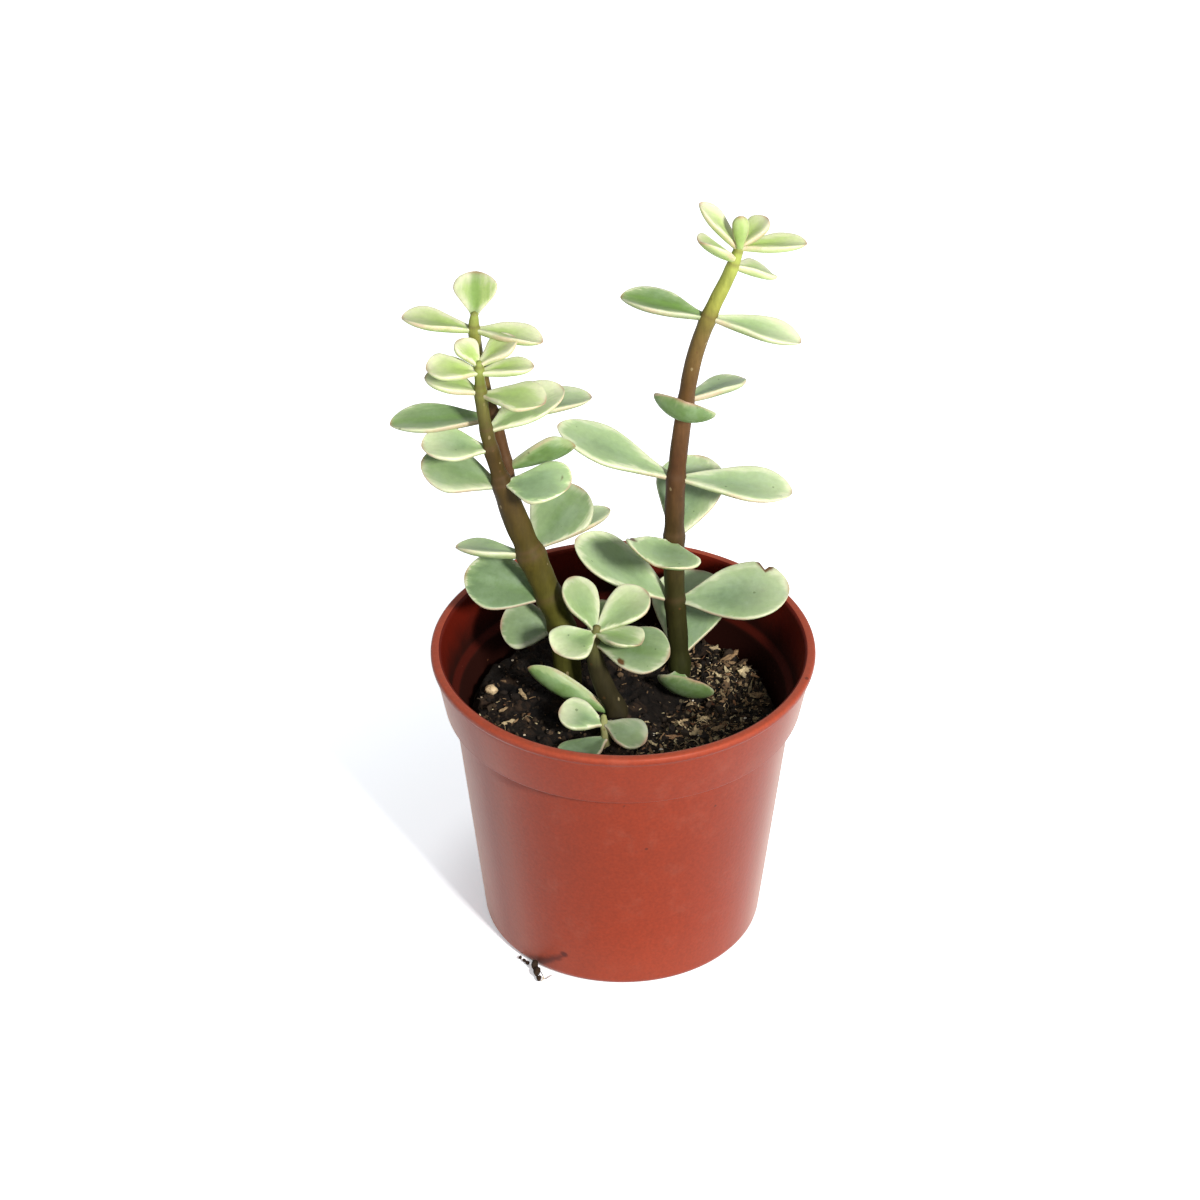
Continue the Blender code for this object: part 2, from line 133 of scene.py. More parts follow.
# Height of a lump that leaves the surface at its plain level
CRUMB_LEVEL = 0.80
CRUMB_GRID = 128
NOISE_GRID = 256
SOIL_DROP = 2.4
SOIL_GRID = 250

LITTER_EVERYWHERE = 0.06
# Where loose bits gather: x, y, spread and strength
LITTER_PATCHES = (
    (14.5, 8.0, 6.0, 0.9),
    (12.5, -5.5, 6.0, 0.9),
    (6.0, -12.5, 5.0, 0.8),
    (17.0, 0.0, 5.0, 0.45),
    (18.0, 10.0, 3.5, 0.50),
    (-16.5, -4.0, 4.0, 0.20),
    (-11.0, -13.0, 4.0, 0.25),
    (-2.0, -15.0, 3.5, 0.4),
)
# Single bits that stand out: x, y, length, width, thickness, heading in degrees and tone, 0 dark to 1 cream
SINGLE_CHIPS = (
    (-14.5, 3.1, 2.6, 0.9, 0.5, 118, 0.72),
    (-6.9, -7.4, 2.8, 1.2, 0.5, 8, 0.66),
    (17.7, 7.1, 2.0, 1.5, 0.8, 70, 0.90),
    (19.3, 2.1, 3.0, 1.0, 0.5, 172, 0.46),
    (13.4, 14.8, 2.6, 0.6, 0.4, 160, 0.80),
    (15.2, 11.5, 3.0, 0.6, 0.4, 20, 0.60),
    (17.9, 8.6, 3.2, 0.5, 0.4, 5, 0.80),
    (11.8, -2.3, 2.2, 1.3, 0.7, 10, 0.74),
    (10.3, -6.4, 3.0, 1.2, 0.5, 125, 0.72),
    (7.3, -7.6, 3.4, 0.8, 0.5, 15, 0.64),
    (8.6, -3.5, 2.4, 0.9, 0.5, 70, 0.72),
    (15.4, 7.9, 2.8, 0.6, 0.4, 110, 0.90),
    (14.4, 6.4, 2.6, 0.6, 0.4, 150, 0.88),
    (16.2, 12.2, 2.6, 1.1, 0.5, 40, 0.55),
    (16.1, -2.0, 2.2, 0.5, 0.4, 60, 0.85),
    (11.1, -0.3, 2.0, 0.8, 0.4, 95, 0.80),
    (7.4, -1.8, 2.2, 0.5, 0.3, 35, 0.96),
    (-2.7, -4.7, 2.2, 0.5, 0.3, 130, 0.98),
    (13.8, 15.0, 2.0, 0.7, 0.4, 60, 0.93),
)
# White grains that stand out: x, y and radius; the first is the tan pebble on the left
SINGLE_GRAINS = (
    (-19.1, 3.6, 1.05),
    (-16.1, 3.1, 0.16),
    (-20.5, 2.1, 0.16),
    (-16.2, 12.2, 0.20),
    (-18.1, 9.7, 0.17),
    (-15.3, 6.6, 0.15),
    (-14.1, -7.6, 0.20),
    (-5.0, -6.9, 0.20),
    (-1.7, -3.3, 0.26),
    (4.4, -6.4, 0.26),
    (5.4, -10.5, 0.28),
    (12.5, -12.0, 0.30),
    (17.5, -4.0, 0.24),
)
PEBBLE_TONE = 0.85
LITTER_REACH = 21.0
# Lumps of the crumb at the foot: x, y, z and the half sizes
FOOT_LUMPS = (
    (-12.8, -16.9, 0.90, 0.55, 0.75, 0.70),
    (-12.5, -18.2, 0.78, 0.52, 0.75, 0.60),
    (-12.2, -19.4, 0.44, 0.36, 0.55, 0.32),
    (-13.9, -15.8, 0.36, 0.32, 0.34, 0.26),
    (-14.4, -15.2, 0.32, 0.28, 0.30, 0.22),
    (-15.0, -14.5, 0.30, 0.24, 0.34, 0.20),
)
# Root hairs: x, y, z and radius along each
ROOT_HAIRS = (
    (
        (-12.3, -18.9, 0.8, 0.06),
        (-11.4, -19.4, 0.35, 0.05),
        (-10.9, -19.0, 0.25, 0.05),
        (-10.3, -18.4, 0.2, 0.04),
    ),
    (
        (-12.2, -18.2, 1.1, 0.06),
        (-11.8, -18.8, 0.9, 0.05),
        (-11.5, -19.4, 0.4, 0.05),
        (-11.9, -19.8, 0.2, 0.05),
    ),
)
HAIR_SIDES = 6
# Lift, tone and litter share of the peat in the foot crumb and the root hairs
FOOT_TONE = (0.84, 0.86, 0.1)
HAIR_TONE = (1.0, 1.0, 0.9)
# Waves of a rough lump: depth, axis and rate of the sine, axis and rate of the cosine
LUMP_WAVES = ((0.16, 0, 3.1, 1, 2.7), (0.12, 2, 5.3, 0, 4.9), (0.06, 1, 11, 2, 10))
# Above 1 makes dark splinters commoner than cream ones
TONE_POWER = 2.0
CHIP_ROWS = 5
CHIP_SIDES = 6
CHIP_JITTER = (0.05, 0.15, 0.18)
# Spread of a chip's bend as a share of its length, and of its tilt and roll in radians
CHIP_BEND = 0.10
CHIP_TILT = 0.22
CHIP_ROLL = 0.5
# Share of its own thickness at which a bit's middle lies above the crumbs
BIT_LIFT = 0.35
FIBRE_ROWS = 12
FIBRE_SIDES = 5
FIBRE_LIFT = 0.12
# Least and most length, radius and tone of a fibre
FIBRE_RANGES = ((1.2, 4.0), (0.03, 0.06), (0.2, 0.9))

# Stem paths: x, y, z and radius in mm from the buried foot to the growing tip
RIGHT_PATH = (
    (8.5, 9.0, 12.0, 0.9),
    (8.5, 9.0, 28.0, 1.4),
    (8.4, 9.0, 35.5, 1.5),
    (7.6, 9.4, 47.3, 1.5),
    (7.3, 9.8, 57.5, 1.5),
    (7.5, 9.6, 68.2, 1.35),
    (8.4, 8.9, 79.1, 1.2),
    (9.7, 8.2, 88.5, 1.15),
    (11.9, 7.7, 96.3, 1.1),
    (14.3, 7.5, 102.3, 0.9),
    (15.7, 7.6, 106.7, 0.6),
)
LEFT_PATH = (
    (-8.0, 4.5, 12.0, 1.1),
    (-8.0, 4.5, 27.0, 1.9),
    (-8.0, 4.5, 38.0, 2.0),
    (-8.9, 4.5, 46.5, 2.0),
    (-11.1, 4.5, 53.0, 2.0),
    (-13.6, 4.5, 60.0, 1.9),
    (-15.8, 4.5, 66.5, 1.75),
    (-17.4, 4.4, 72.0, 1.25),
    (-18.7, 4.2, 77.5, 1.0),
    (-19.5, 4.0, 83.0, 0.9),
    (-19.8, 3.8, 88.0, 0.75),
    (-19.8, 3.8, 90.5, 0.5),
)
BRANCH_PATH = (
    (-15.6, 5.0, 65.0, 1.0),
    (-16.2, 6.8, 70.0, 1.0),
    (-17.4, 8.0, 76.0, 0.95),
    (-18.9, 8.4, 82.0, 0.9),
    (-20.1, 8.4, 88.0, 0.9),
    (-20.6, 8.2, 93.0, 0.8),
    (-20.5, 8.0, 95.8, 0.5),
)
SHOOT_PATH = (
    (-0.9, -1.2, 20.0, 1.0),
    (-0.9, -1.2, 30.0, 1.5),
    (-1.0, -1.2, 35.5, 1.6),
    (-2.4, -1.5, 39.0, 1.5),
    (-3.7, -1.8, 43.5, 1.3),
    (-4.2, -2.0, 47.5, 1.0),
    (-3.7, -2.2, 50.7, 0.5),
)
SEEDLING_PATH = (
    (-2.4, -7.6, 28.0, 0.6),
    (-2.4, -7.6, 35.0, 0.7),
    (-2.7, -6.8, 36.8, 0.6),
    (-2.8, -6.4, 38.2, 0.4),
)
# Leaves: height of the base in mm, azimuth and pitch in degrees, length and width in mm, roll,
# curl along the blade and cup across it in degrees. Where a leaf differs from the rest, its row goes on
# with brightness (partly the leaf's own tone, partly painted light or shade for how lit it stands), share of
# deep green, width of the pale margin against the usual, and strength of the pale wash towards the tip and
# one side
RIGHT_LEAVES = (
    (37.2, 78, 29, 14.5, 11.8, 0, 0, 20),
    (35.7, -99, -25, 10.8, 9.0, -26, 112, 25, 0.76, 0.9, 0.6, 0.1),
    (47.3, 166, 30, 16.5, 8.5, -15, 0, 20, 1.0, 0.0, 0.9, 0.1),
    (47.3, 0, 8, 16.0, 9.5, 30, 0, 15, 0.84, 0.0, 1.7, 0.3),
    (57.5, -106, 9, 10.5, 11.5, -12, 10, 25, 1.24, 0.0, 1.0, 0.1),
    (57.5, 68, 38, 13.0, 10.5, 0, 0, 20),
    (68.1, 163, 13, 18.0, 7.8, -5, 12, 20, 1.08, 0.0, 1.3, 0.1),
    (68.1, -4, -6, 16.0, 8.0, 5, 0, 20, 1.12, 0.0, 1.2, 0.3),
    (81.4, -106, -20, 8.8, 9.6, -17, 110, 35, 0.86, 0.8, 0.7, 0.1),
    (81.4, 38, -1, 10.0, 5.4, -10, 0, 20),
    (95.2, 168, 9, 12.0, 5.8, -5, 0, 40, 0.81, 0.9, 0.6, 0.0),
    (95.2, -8, -13, 12.7, 6.2, 0, 0, 30, 1.12, 0.0, 1.5, 0.5),
    (104.6, -150, 37, 7.0, 5.4, 0, 0, 30, 0.98, 0.0, 1.6, 0.5),
    (103.3, 30, -26, 7.0, 5.4, 0, 0, 20, 0.98, 0.0, 1.6, 0.6),
    (106.2, 160, 46, 8.0, 3.8, 0, 0, 30, 1.0, 0.0, 1.6, 0.7),
    (106.2, 0, 4, 8.9, 4.6, 0, 0, 30, 1.0, 0.0, 1.4, 0.6),
    (106.4, -90, 80, 5.4, 2.4, 0, 0, 20, 0.84, 0.0, 3.0, 0.7),
    (106.4, 32, 38, 5.2, 4.2, 0, 0, 20, 1.0, 0.0, 1.6, 0.7),
)
LEFT_LEAVES = (
    (45.7, 175, 3, 8.0, 7.7, -35, 0, 15, 0.66, 0.0, 0.8, 0.0),
    (51.0, 172, 15, 11.9, 9.0, -30, 0, 15, 0.78, 0.2, 0.6, 0.0),
    (58.3, 178, 7, 10.0, 5.0, 10, 0, 30),
    (59.0, 47, 33, 11.3, 10.0, 10, 0, 15, 0.8, 0.2, 1.0, 0.0),
    (59.4, 38, 5, 13.7, 4.8, 0, 0, 20),
    (70.7, -28, 14, 10.6, 8.3, 15, 0, 15, 1.55, 0.0, 1.0, 0.1),
    (70.0, 172, 16, 11.4, 7.8, -22, 0, 15, 0.8, 0.2, 1.0, 0.1),
    (76.2, -172, 9, 9.4, 6.4, -16, 0, 25, 1.05, 0.0, 1.5, 0.6),
    (79.3, 25, 20, 12.0, 7.6, 5, 0, 20, 1.08, 0.0, 1.8, 0.8),
    (85.3, -22, 5, 9.3, 6.8, 5, 0, 25),
    (85.6, 172, 14, 7.7, 6.0, 0, 0, 25, 1.0, 0.0, 1.5, 0.5),
    (88.9, -172, 10, 7.2, 5.6, -10, 0, 25, 1.0, 0.0, 1.4, 0.6),
    (88.8, 8, 4, 7.3, 4.4, 0, 0, 25, 1.0, 0.0, 1.4, 0.7),
    (90.0, 140, 35, 4.5, 4.0, 0, 0, 25, 1.0, 0.0, 1.8, 0.8),
    (90.2, 25, 28, 6.0, 5.2, 0, 0, 25, 1.0, 0.0, 1.6, 0.8),
)
BRANCH_LEAVES = (
    (71.5, 6, 17, 9.8, 6.6, -55, 0, 35),
    (78.8, -177, -2, 14.2, 6.6, -5, 0, 30, 0.9, 0.5, 0.8, 0.1),
    (79.5, 11, 5, 13.8, 6.3, 0, 0, 25),
    (86.0, 60, -10, 6.0, 6.0, 0, 0, 20),
    (93.0, 177, 10, 9.8, 5.5, 0, 0, 35, 0.96, 0.1, 1.6, 0.7),
    (93.0, -8, -7, 9.3, 5.5, 0, 0, 40, 0.94, 0.1, 1.6, 0.7),
    (95.4, 84, 62, 6.0, 6.2, 0, 0, 20, 0.78, 0.8, 2.4, 0.0),
)
SHOOT_LEAVES = (
    (50.0, 122, 38, 8.5, 5.6, 0, 0, 20, 0.82, 0.2, 1.0, 0.3),
    (50.0, 30, 26, 9.0, 6.8, 10, 0, 20, 0.98, 0.0, 1.3, 0.5),
    (49.5, -140, 1, 7.2, 7.2, -12, 0, 20, 1.04, 0.0, 1.1, 0.7),
    (49.5, -33, 8, 7.5, 6.4, -4, 0, 30, 0.98, 0.3, 1.3, 0.1),
    (47.8, -20, 2, 11.0, 8.0, 25, 0, 15, 0.7, 0.3, 0.9, 0.1),
    (48.0, 78, 22, 7.0, 4.5, 0, 0, 15),
    (35.2, -175, 25, 14.0, 5.2, 62, 22, 50, 1.15, 0.1, 0.5, 0.0),
)
SEEDLING_LEAVES = (
    (37.0, 172, 14, 6.5, 6.0, -15, 0, 20, 1.02, 0.0, 1.2, 0.8),
    (37.0, -24, -12, 6.4, 5.8, 12, 0, 20, 0.48, 0.0, 0.8, 0.1),
    (35.1, -135, 0, 8.4, 6.2, 0, 0, 20, 0.64, 0.0, 0.4, 0.0),
)
# Bark colour by height in mm, as sRGB from 0 to 255
RIGHT_BARK = (
    (34, 37, 40, 14),
    (50, 52, 48, 20),
    (60, 66, 48, 24),
    (72, 78, 49, 26),
    (84, 96, 69, 40),
    (92, 102, 82, 42),
    (95.5, 110, 100, 46),
    (97.5, 138, 138, 61),
    (106, 148, 158, 76),
)
LEFT_BARK = (
    (34, 62, 62, 26),
    (48, 76, 74, 26),
    (60, 69, 58, 18),
    (67, 64, 49, 18),
    (76, 62, 46, 15),
    (84, 94, 90, 42),
    (88, 112, 118, 52),
    (91, 140, 152, 78),
)
BRANCH_BARK = (
    (64, 78, 52, 30),
    (80, 80, 54, 30),
    (90, 104, 92, 42),
    (96, 140, 152, 76),
)
SHOOT_BARK = (
    (34, 40, 35, 20),
    (44, 50, 45, 26),
    (51, 104, 104, 60),
)
SEEDLING_BARK = (
    (34, 108, 101, 67),
    (39, 144, 148, 94),
)
# Each leafy piece: its node and its axes, each a path, leaves, bark and the heights in mm between
# which its leaves turn from old to young
PLANTS = {
    "right_stem": ((RIGHT_PATH, RIGHT_LEAVES, RIGHT_BARK, 92, 107),),
    "left_stem": (
        (LEFT_PATH, LEFT_LEAVES, LEFT_BARK, 72, 92),
        (BRANCH_PATH, BRANCH_LEAVES, BRANCH_BARK, 76, 98),
    ),
    "front_shoot": ((SHOOT_PATH, SHOOT_LEAVES, SHOOT_BARK, 45, 60),),
    "seedling": ((SEEDLING_PATH, SEEDLING_LEAVES, SEEDLING_BARK, 32, 66),),
}
# The last four numbers of a leaf whose row leaves them out
PLAIN_LOOK = (1.0, 0.0, 1.0, 0.25)
# Scars: node, axis and leaf, then place along and across the blade, size as a share and notch depth
LEAF_SCARS = {
    ("right_stem", 0, 3): (0.80, -1.0, 0.07, 0.26),
    ("right_stem", 0, 4): (0.62, 1.0, 0.07, 0.06),
    ("front_shoot", 0, 4): (0.42, 0.80, 0.045, 0.0),
    ("left_stem", 0, 5): (0.84, -0.30, 0.028, 0.0),
}
# A scar too small to be seen
NO_SCAR = (0.0, 1.0, 1e-6, 0.0)
LEAF_THICKNESS = 1.5
PETIOLE_RADIUS = 0.65
LEAF_TAPER = 1.6
LEAF_FULLNESS = 0.55
THICK_START = 0.12
THICK_SPAN = 0.86
# Below 1 keeps a blade thick up to its margin
EDGE_POWER = 0.66
RUFFLE = 0.26
# Share of a blade's length that keeps the rounder tip inside the solid's
SKIN_SHARE = 0.994
CURL_STEPS = 100
# Way to the back and up, and the share of leaves whose wider pale side is the near one instead
FAR_SIDE = (0.0, 0.56, 0.83)
NEAR_SHARE = 0.2
BASE_SINK = 0.5
# Depths in metres to which red, green and blue light reach into the flesh
FLESH_DEPTHS = (0.0008, 0.001, 0.0004)
LEAF_ROWS = 30
LEAF_SIDES = 32
STEM_SIDES = 28
PATH_STEPS = 14
STEM_TIP = 0.7
# Change of a stem's radius at each leaf pair: its share, height above the pair and spread in mm
NODE_SHAPE = ((0.10, 0.0, 1.0), (-0.05, 2.4, 1.3))
# Height of the node ring above the pair and its spread in mm
NODE_RING = 0.9
NODE_RING_SPREAD = 0.28
# Heights in mm between which the node rings gain their colour
RING_LOW = 38.0
RING_HIGH = 48.0
BARK_SLOT = 0
LEAF_SLOT = 1

FLOOR_REACH = 4000.0
FLOOR_HEIGHT = -0.1
# Camera: place in mm, tilt in degrees and lens in mm on a 36 mm sensor
CAMERA_PLACE = (-3.3, -421.6, 340.3)
CAMERA_TILT = 55.8
CAMERA_LENS = 108.0


def linear(red, green, blue):
    """Linear RGBA of an sRGB colour from 0 to 255: a curve of power 2.4 above its straight foot."""
    share = np.array([red, green, blue]) / 255.0
    value = np.where(share <= 0.04045, share / 12.92, ((share + 0.055) / 1.055) ** 2.4)
    return (*[float(v) for v in value], 1.0)


def length(name, description, default_mm):
    """Length in metres whose default is given in mm."""
    return bpy.props.FloatProperty(
        name=name, description=description, default=default_mm * MM, min=0.0, precision=5, unit="LENGTH"
    )


def colour(name, description, *rgb):
    """Linear colour whose default is given as sRGB from 0 to 255."""
    return bpy.props.FloatVectorProperty(
        name=name, description=description, default=linear(*rgb), size=4, min=0.0, max=1.0, subtype="COLOR"
    )


def number(name, description, default, low=0.0, high=100.0):
    return bpy.props.FloatProperty(name=name, description=description, default=default, min=low, max=high)


def count(name, description, default):
    return bpy.props.IntProperty(name=name, description=description, default=default, min=0, max=5000)


class PotSettings(bpy.types.PropertyGroup):
    rim_radius: length("Rim radius", "Outer radius of the lip", POT_HIGH[0] / MM)
    height: length("Height", "Height of the pot", POT_HIGH[2] / MM)
    collar_height: length("Collar height", "Height of the wider band below the lip", 9.0)
    wall: length("Wall", "Thickness of the plastic", 0.9)
    plastic: colour("Plastic", "Colour of the plastic", 123, 41, 17)
    dust: colour("Dust", "Colour of the thin dust on the plastic", 170, 128, 112)
    dirt: colour("Dirt", "Colour of the smear of wet mix", 80, 18, 5)
    # The inside's deeper colour and the dark layer over it are painted shade inside the pot
    inner: colour("Inner plastic", "Colour of the plastic on the inside", 88, 21, 10)
    painted_shade: colour("Film", "Colour of the peat film on the inside", 26, 10, 6)
    roughness: number("Roughness", "Roughness of the plastic", 0.38, 0.0, 1.0)


class MixSettings(bpy.types.PropertyGroup):
    peat: colour("Peat", "Colour of the peat's crumbs", 21, 16, 12)
    # Near-black between the crumbs: painted shade
    hollow: colour("Hollow", "Colour between the crumbs", 3, 2, 2)
    fibre: colour("Fibre", "Colour of fibres and pale crumbs", 138, 110, 80)
    cream: colour("Cream", "Colour of the palest chips", 202, 184, 144)
    splinters: count("Splinters", "Loose bark splinters on the mix", 1150)
    crumbs: count("Crumbs", "Loose dark crumbs on the mix", 1300)
    fibres: count("Fibres", "Loose fibres on the mix", 26)
    grains: count("Grains", "Loose white grains on the mix", 26)
    seed: count("Seed", "Seed of the loose bits' places", 7)


class PlantSettings(bpy.types.PropertyGroup):
    old_green: colour("Old green", "Middle of an old leaf's upper face", 118, 142, 104)
    young_green: colour("Young green", "Middle of a young leaf's upper face", 150, 178, 84)
    old_cream: colour("Old cream", "Margin of an old leaf", 214, 218, 182)
    young_cream: colour("Young cream", "Margin of a young leaf", 218, 217, 184)
    under_green: colour("Under green", "Underside of a leaf", 98, 127, 66)
    blush: colour("Blush", "Thin line along a leaf's edge", 200, 160, 142)
    scar: colour("Scar", "Scars and corky specks", 92, 64, 36)
    cream_width: length("Cream width", "Width of a leaf's pale margin", 0.9)
    roughness: number("Roughness", "Roughness of the waxy skin", 0.46, 0.0, 1.0)


class StageSettings(bpy.types.PropertyGroup):
    floor: colour("Floor", "Colour of the floor", 246, 248, 252)
    floor_glow: number("Floor glow", "Brightness that the floor shows the camera next to the pot", 0.35)
    key_power: number("Key power", "Power of the main light in watts", 4.7)
    key_size: length("Key size", "Width of the main light", 76.0)
    key_azimuth: number("Key azimuth", "Bearing of the main light in degrees", -61.5, -360.0, 360.0)
    key_elevation: number("Key elevation", "Height of the main light in degrees", 35.5, 0.0, 90.0)
    key_distance: length("Key distance", "Distance of the main light", 600.0)
    sky: number("Sky", "Strength of the even light all round", 0.42)


def smooth(low, high, value):
    """0 below low, 1 above high and 3t^2 - 2t^3 between them."""
    t = np.clip((value - low) / (high - low), 0, 1)
    return t * t * (3 - 2 * t)


def bell(away, spread):
    """1 at no distance, falling as e to the power of less the square of distance over spread."""
    return np.exp(-((away / spread) ** 2))


def turns(sides):
    """Even angles round a circle."""
    return np.arange(sides) * 2 * np.pi / sides


def level_ring(radius, angles, z, x=0.0, y=0.0):
    """Points at a radius and angles round x, y at the height z."""
    points = np.broadcast_arrays(x + radius * np.cos(angles), y + radius * np.sin(angles), z)
    return np.stack(points, axis=1)


def grid_noise(x, y, cell, seed):
    """Random numbers from 0 to 1 on the corners of a square grid, mixed smoothly between the corners."""
    grid = np.random.default_rng(seed).random((NOISE_GRID, NOISE_GRID))
    column = np.floor(x / cell).astype(int)
    row = np.floor(y / cell).astype(int)
    across = smooth(0, 1, x / cell - column)
    up = smooth(0, 1, y / cell - row)
    low, high = [
        grid[column % NOISE_GRID, (row + i) % NOISE_GRID] * (1 - across)
        + grid[(column + 1) % NOISE_GRID, (row + i) % NOISE_GRID] * across
        for i in (0, 1)
    ]
    return low * (1 - up) + high * up


def crumb_cells(x, y, cell, seed):
    """Round lumps round jittered points: 1 less the squared distance to the nearest point, measured in cells.

    Returns that height and the nearest lump's own random number.
    """
    dice = np.random.default_rng(seed)
    jitter = dice.random((CRUMB_GRID, CRUMB_GRID, 2))
    label = dice.random((CRUMB_GRID, CRUMB_GRID))
    column = np.floor(x / cell).astype(int)
    row = np.floor(y / cell).astype(int)
    nearest = np.full(x.shape, 9.0)
    tone = np.zeros(x.shape)
    for i in (-1, 0, 1):
        for j in (-1, 0, 1):
            a = (column + i) % CRUMB_GRID
            b = (row + j) % CRUMB_GRID
            distance = (x / cell - column - i - jitter[a, b, 0]) ** 2
            distance = distance + (y / cell - row - j - jitter[a, b, 1]) ** 2
            closer = distance < nearest
            nearest = np.where(closer, distance, nearest)
            tone = np.where(closer, label[a, b], tone)
    return 1 - nearest, tone


def with_hills(level, x, y, hills):
    """Level plus one Gaussian for each row of x, y, spread and height."""
    for cx, cy, spread, rise in hills:
        level = level + rise * np.exp(-((x - cx) ** 2 + (y - cy) ** 2) / spread**2)
    return level


def soil_base(x, y):
    """Plain surface of the mix in mm: crossed waves plus one Gaussian for each mound or hollow."""
    height = SOIL_TOP
    for rise, along_x, along_y, phase in SOIL_WAVES:
        height = height + rise * np.sin(along_x * x + along_y * y + phase)
    return with_hills(height, x, y, SOIL_BUMPS)


def soil_edge(angle):
    """Radius of the ball's uneven top edge in mm at an angle."""
    radius = 1.0
    for share, waves, phase in SOIL_EDGE_WAVES:
        radius = radius + share * np.sin(waves * angle + phase)
    return SOIL_TOP_RADIUS * radius


def crumbs_at(x, y):
    """Lumps of each size at places bent by smooth random steps, so that no lump is round."""
    bent = []
    for place, seed in zip((x, y), CRUMB_WARP_SEEDS):
        wide = CRUMB_WARP * (grid_noise(x, y, 1.6, seed) - 0.5)
        bent.append(place + wide + 0.4 * CRUMB_WARP * (grid_noise(x, y, 0.5, seed + 2) - 0.5))
    return [crumb_cells(*bent, cell, seed) for cell, _, seed in CRUMBS]


def soil_surface(x, y):
    """Plain surface plus four sizes of crumb, each lump's height varied by its own random number, less the
    fall at the edge of the ball."""
    height = soil_base(x, y)
    for (_, rise, _), (lump, tone) in zip(CRUMBS, crumbs_at(x, y)):
        height = height + rise * (lump - CRUMB_LEVEL) * (0.35 + 0.9 * tone)
    outwards = np.hypot(x, y) / soil_edge(np.arctan2(y, x))
    return height - SOIL_DROP * smooth(0.94, 1.0, outwards) ** 1.2


def litter_density(x, y):
    """Share of loose bits at a place: a low even share plus one Gaussian for each patch."""
    return np.clip(with_hills(LITTER_EVERYWHERE, x, y, LITTER_PATCHES), 0, 1)


def place_in_scene(name, data):
    """A new object of that name in the scene."""
    item = bpy.data.objects.new(name, data)
    bpy.context.scene.collection.objects.link(item)
    return item


def tube_faces(rows, sides):
    """Faces of a closed skin whose points are a pole, rows of rings and a pole: quads between the rings and
    fans at the poles."""
    k = np.arange(sides)
    after = (k + 1) % sides
    low = 1 + np.arange(rows - 1)[:, None] * sides
    quads = np.stack([low + k, low + after, low + sides + after, low + sides + k], axis=-1).reshape(-1, 4)
    last = 1 + (rows - 1) * sides
    end = np.full(sides, 1 + rows * sides)
    first_fan = np.stack([np.zeros(sides, int), after + 1, k + 1], axis=1)
    last_fan = np.stack([end, last + k, last + after], axis=1)
    return quads, np.concatenate([first_fan, last_fan])


class Skin:
    """Points, faces and values of one piece, gathered patch by patch in mm."""

    def __init__(self, *value_names):
        self.points = []
        self.quads = []
        self.triangles = []
        self.slots = []
        self.values = {name: [] for name in value_names}
        self.total = 0

    def add(self, points, quads, triangles, slot=0, **values):
        """Turns the patch outwards by the sign of its volume, and adds it with its values per point."""
        quads = np.asarray(quads, int).reshape(-1, 4)
        triangles = np.asarray(triangles, int).reshape(-1, 3)
        halves = np.concatenate([triangles, quads[:, [0, 1, 2]], quads[:, [0, 2, 3]]])
        corners = points[halves]
        volume = np.einsum("ij,ij->i", corners[:, 0], np.cross(corners[:, 1], corners[:, 2])).sum()
        if volume < 0:
            quads = quads[:, ::-1]
            triangles = triangles[:, ::-1]
        self.points.append(points)
        self.quads.append(quads + self.total)
        self.triangles.append(triangles + self.total)
        self.slots.append((len(quads), len(triangles), slot))
        for name, rows in self.values.items():
            rows.append(np.broadcast_to(values.get(name, (0.0, 0.0, 0.0)), (len(points), 3)))
        self.total += len(points)

    def add_rings(self, first, rings, last, slot=0, **values):
        """Adds a pole, rows of rings and a pole as a closed patch. Each value is three numbers or arrays over
        the rings' grid, and the poles take the nearest ring's."""
        rows, sides = rings.shape[:2]
        spread = {}
        for name, parts in values.items():
            grid = np.stack([np.broadcast_to(part, (rows, sides)) for part in parts], axis=-1).reshape(-1, 3)
            spread[name] = np.vstack([grid[:1], grid, grid[-1:]])
        points = np.vstack([first, rings.reshape(-1, 3), last])
        self.add(points, *tube_faces(rows, sides), slot=slot, **spread)

    def add_bits(self, points, quads, triangles, bit):
        """Adds many bits of one pattern: points by bit and corner, the faces of one bit, and three values."""
        step = np.arange(len(points))[:, None, None] * points.shape[1]
        quads = (np.reshape(quads, (1, -1, 4)) + step).reshape(-1, 4)
        triangles = (triangles[None] + step).reshape(-1, 3)
        values = np.stack([np.broadcast_to(part, points.shape[:2]) for part in bit], axis=-1)
        self.add(points.reshape(-1, 3), quads, triangles, bit=values.reshape(-1, 3))

    def make(self, name, materials, flat=False):
        """The mesh object of all patches, with each value as a vector per point."""
        points = np.concatenate(self.points) * MM
        quads = np.concatenate(self.quads)
        triangles = np.concatenate(self.triangles)
        starts = np.concatenate([np.arange(len(quads)) * 4, quads.size + np.arange(len(triangles)) * 3])
        slots = [np.full(patch[k], patch[2]) for k in (0, 1) for patch in self.slots]
        mesh = bpy.data.meshes.new(name)
        mesh.vertices.add(len(points))
        mesh.vertices.foreach_set("co", points.ravel())
        mesh.loops.add(quads.size + triangles.size)
        mesh.loops.foreach_set("vertex_index", np.concatenate([quads.ravel(), triangles.ravel()]))
        mesh.polygons.add(len(starts))
        mesh.polygons.foreach_set("loop_start", starts)
        mesh.polygons.foreach_set("material_index", np.concatenate(slots))
        for material in materials:
            mesh.materials.append(material)
        for value_name, rows in self.values.items():
            layer = mesh.attributes.new(value_name, "FLOAT_VECTOR", "POINT")
            layer.data.foreach_set("vector", np.concatenate(rows).ravel())
        mesh.update(calc_edges=True)
        if mesh.validate():
            raise RuntimeError(f"{name} has a broken face")
        if flat:
            mesh.shade_flat()
        else:
            mesh.shade_smooth()
        return place_in_scene(name, mesh)


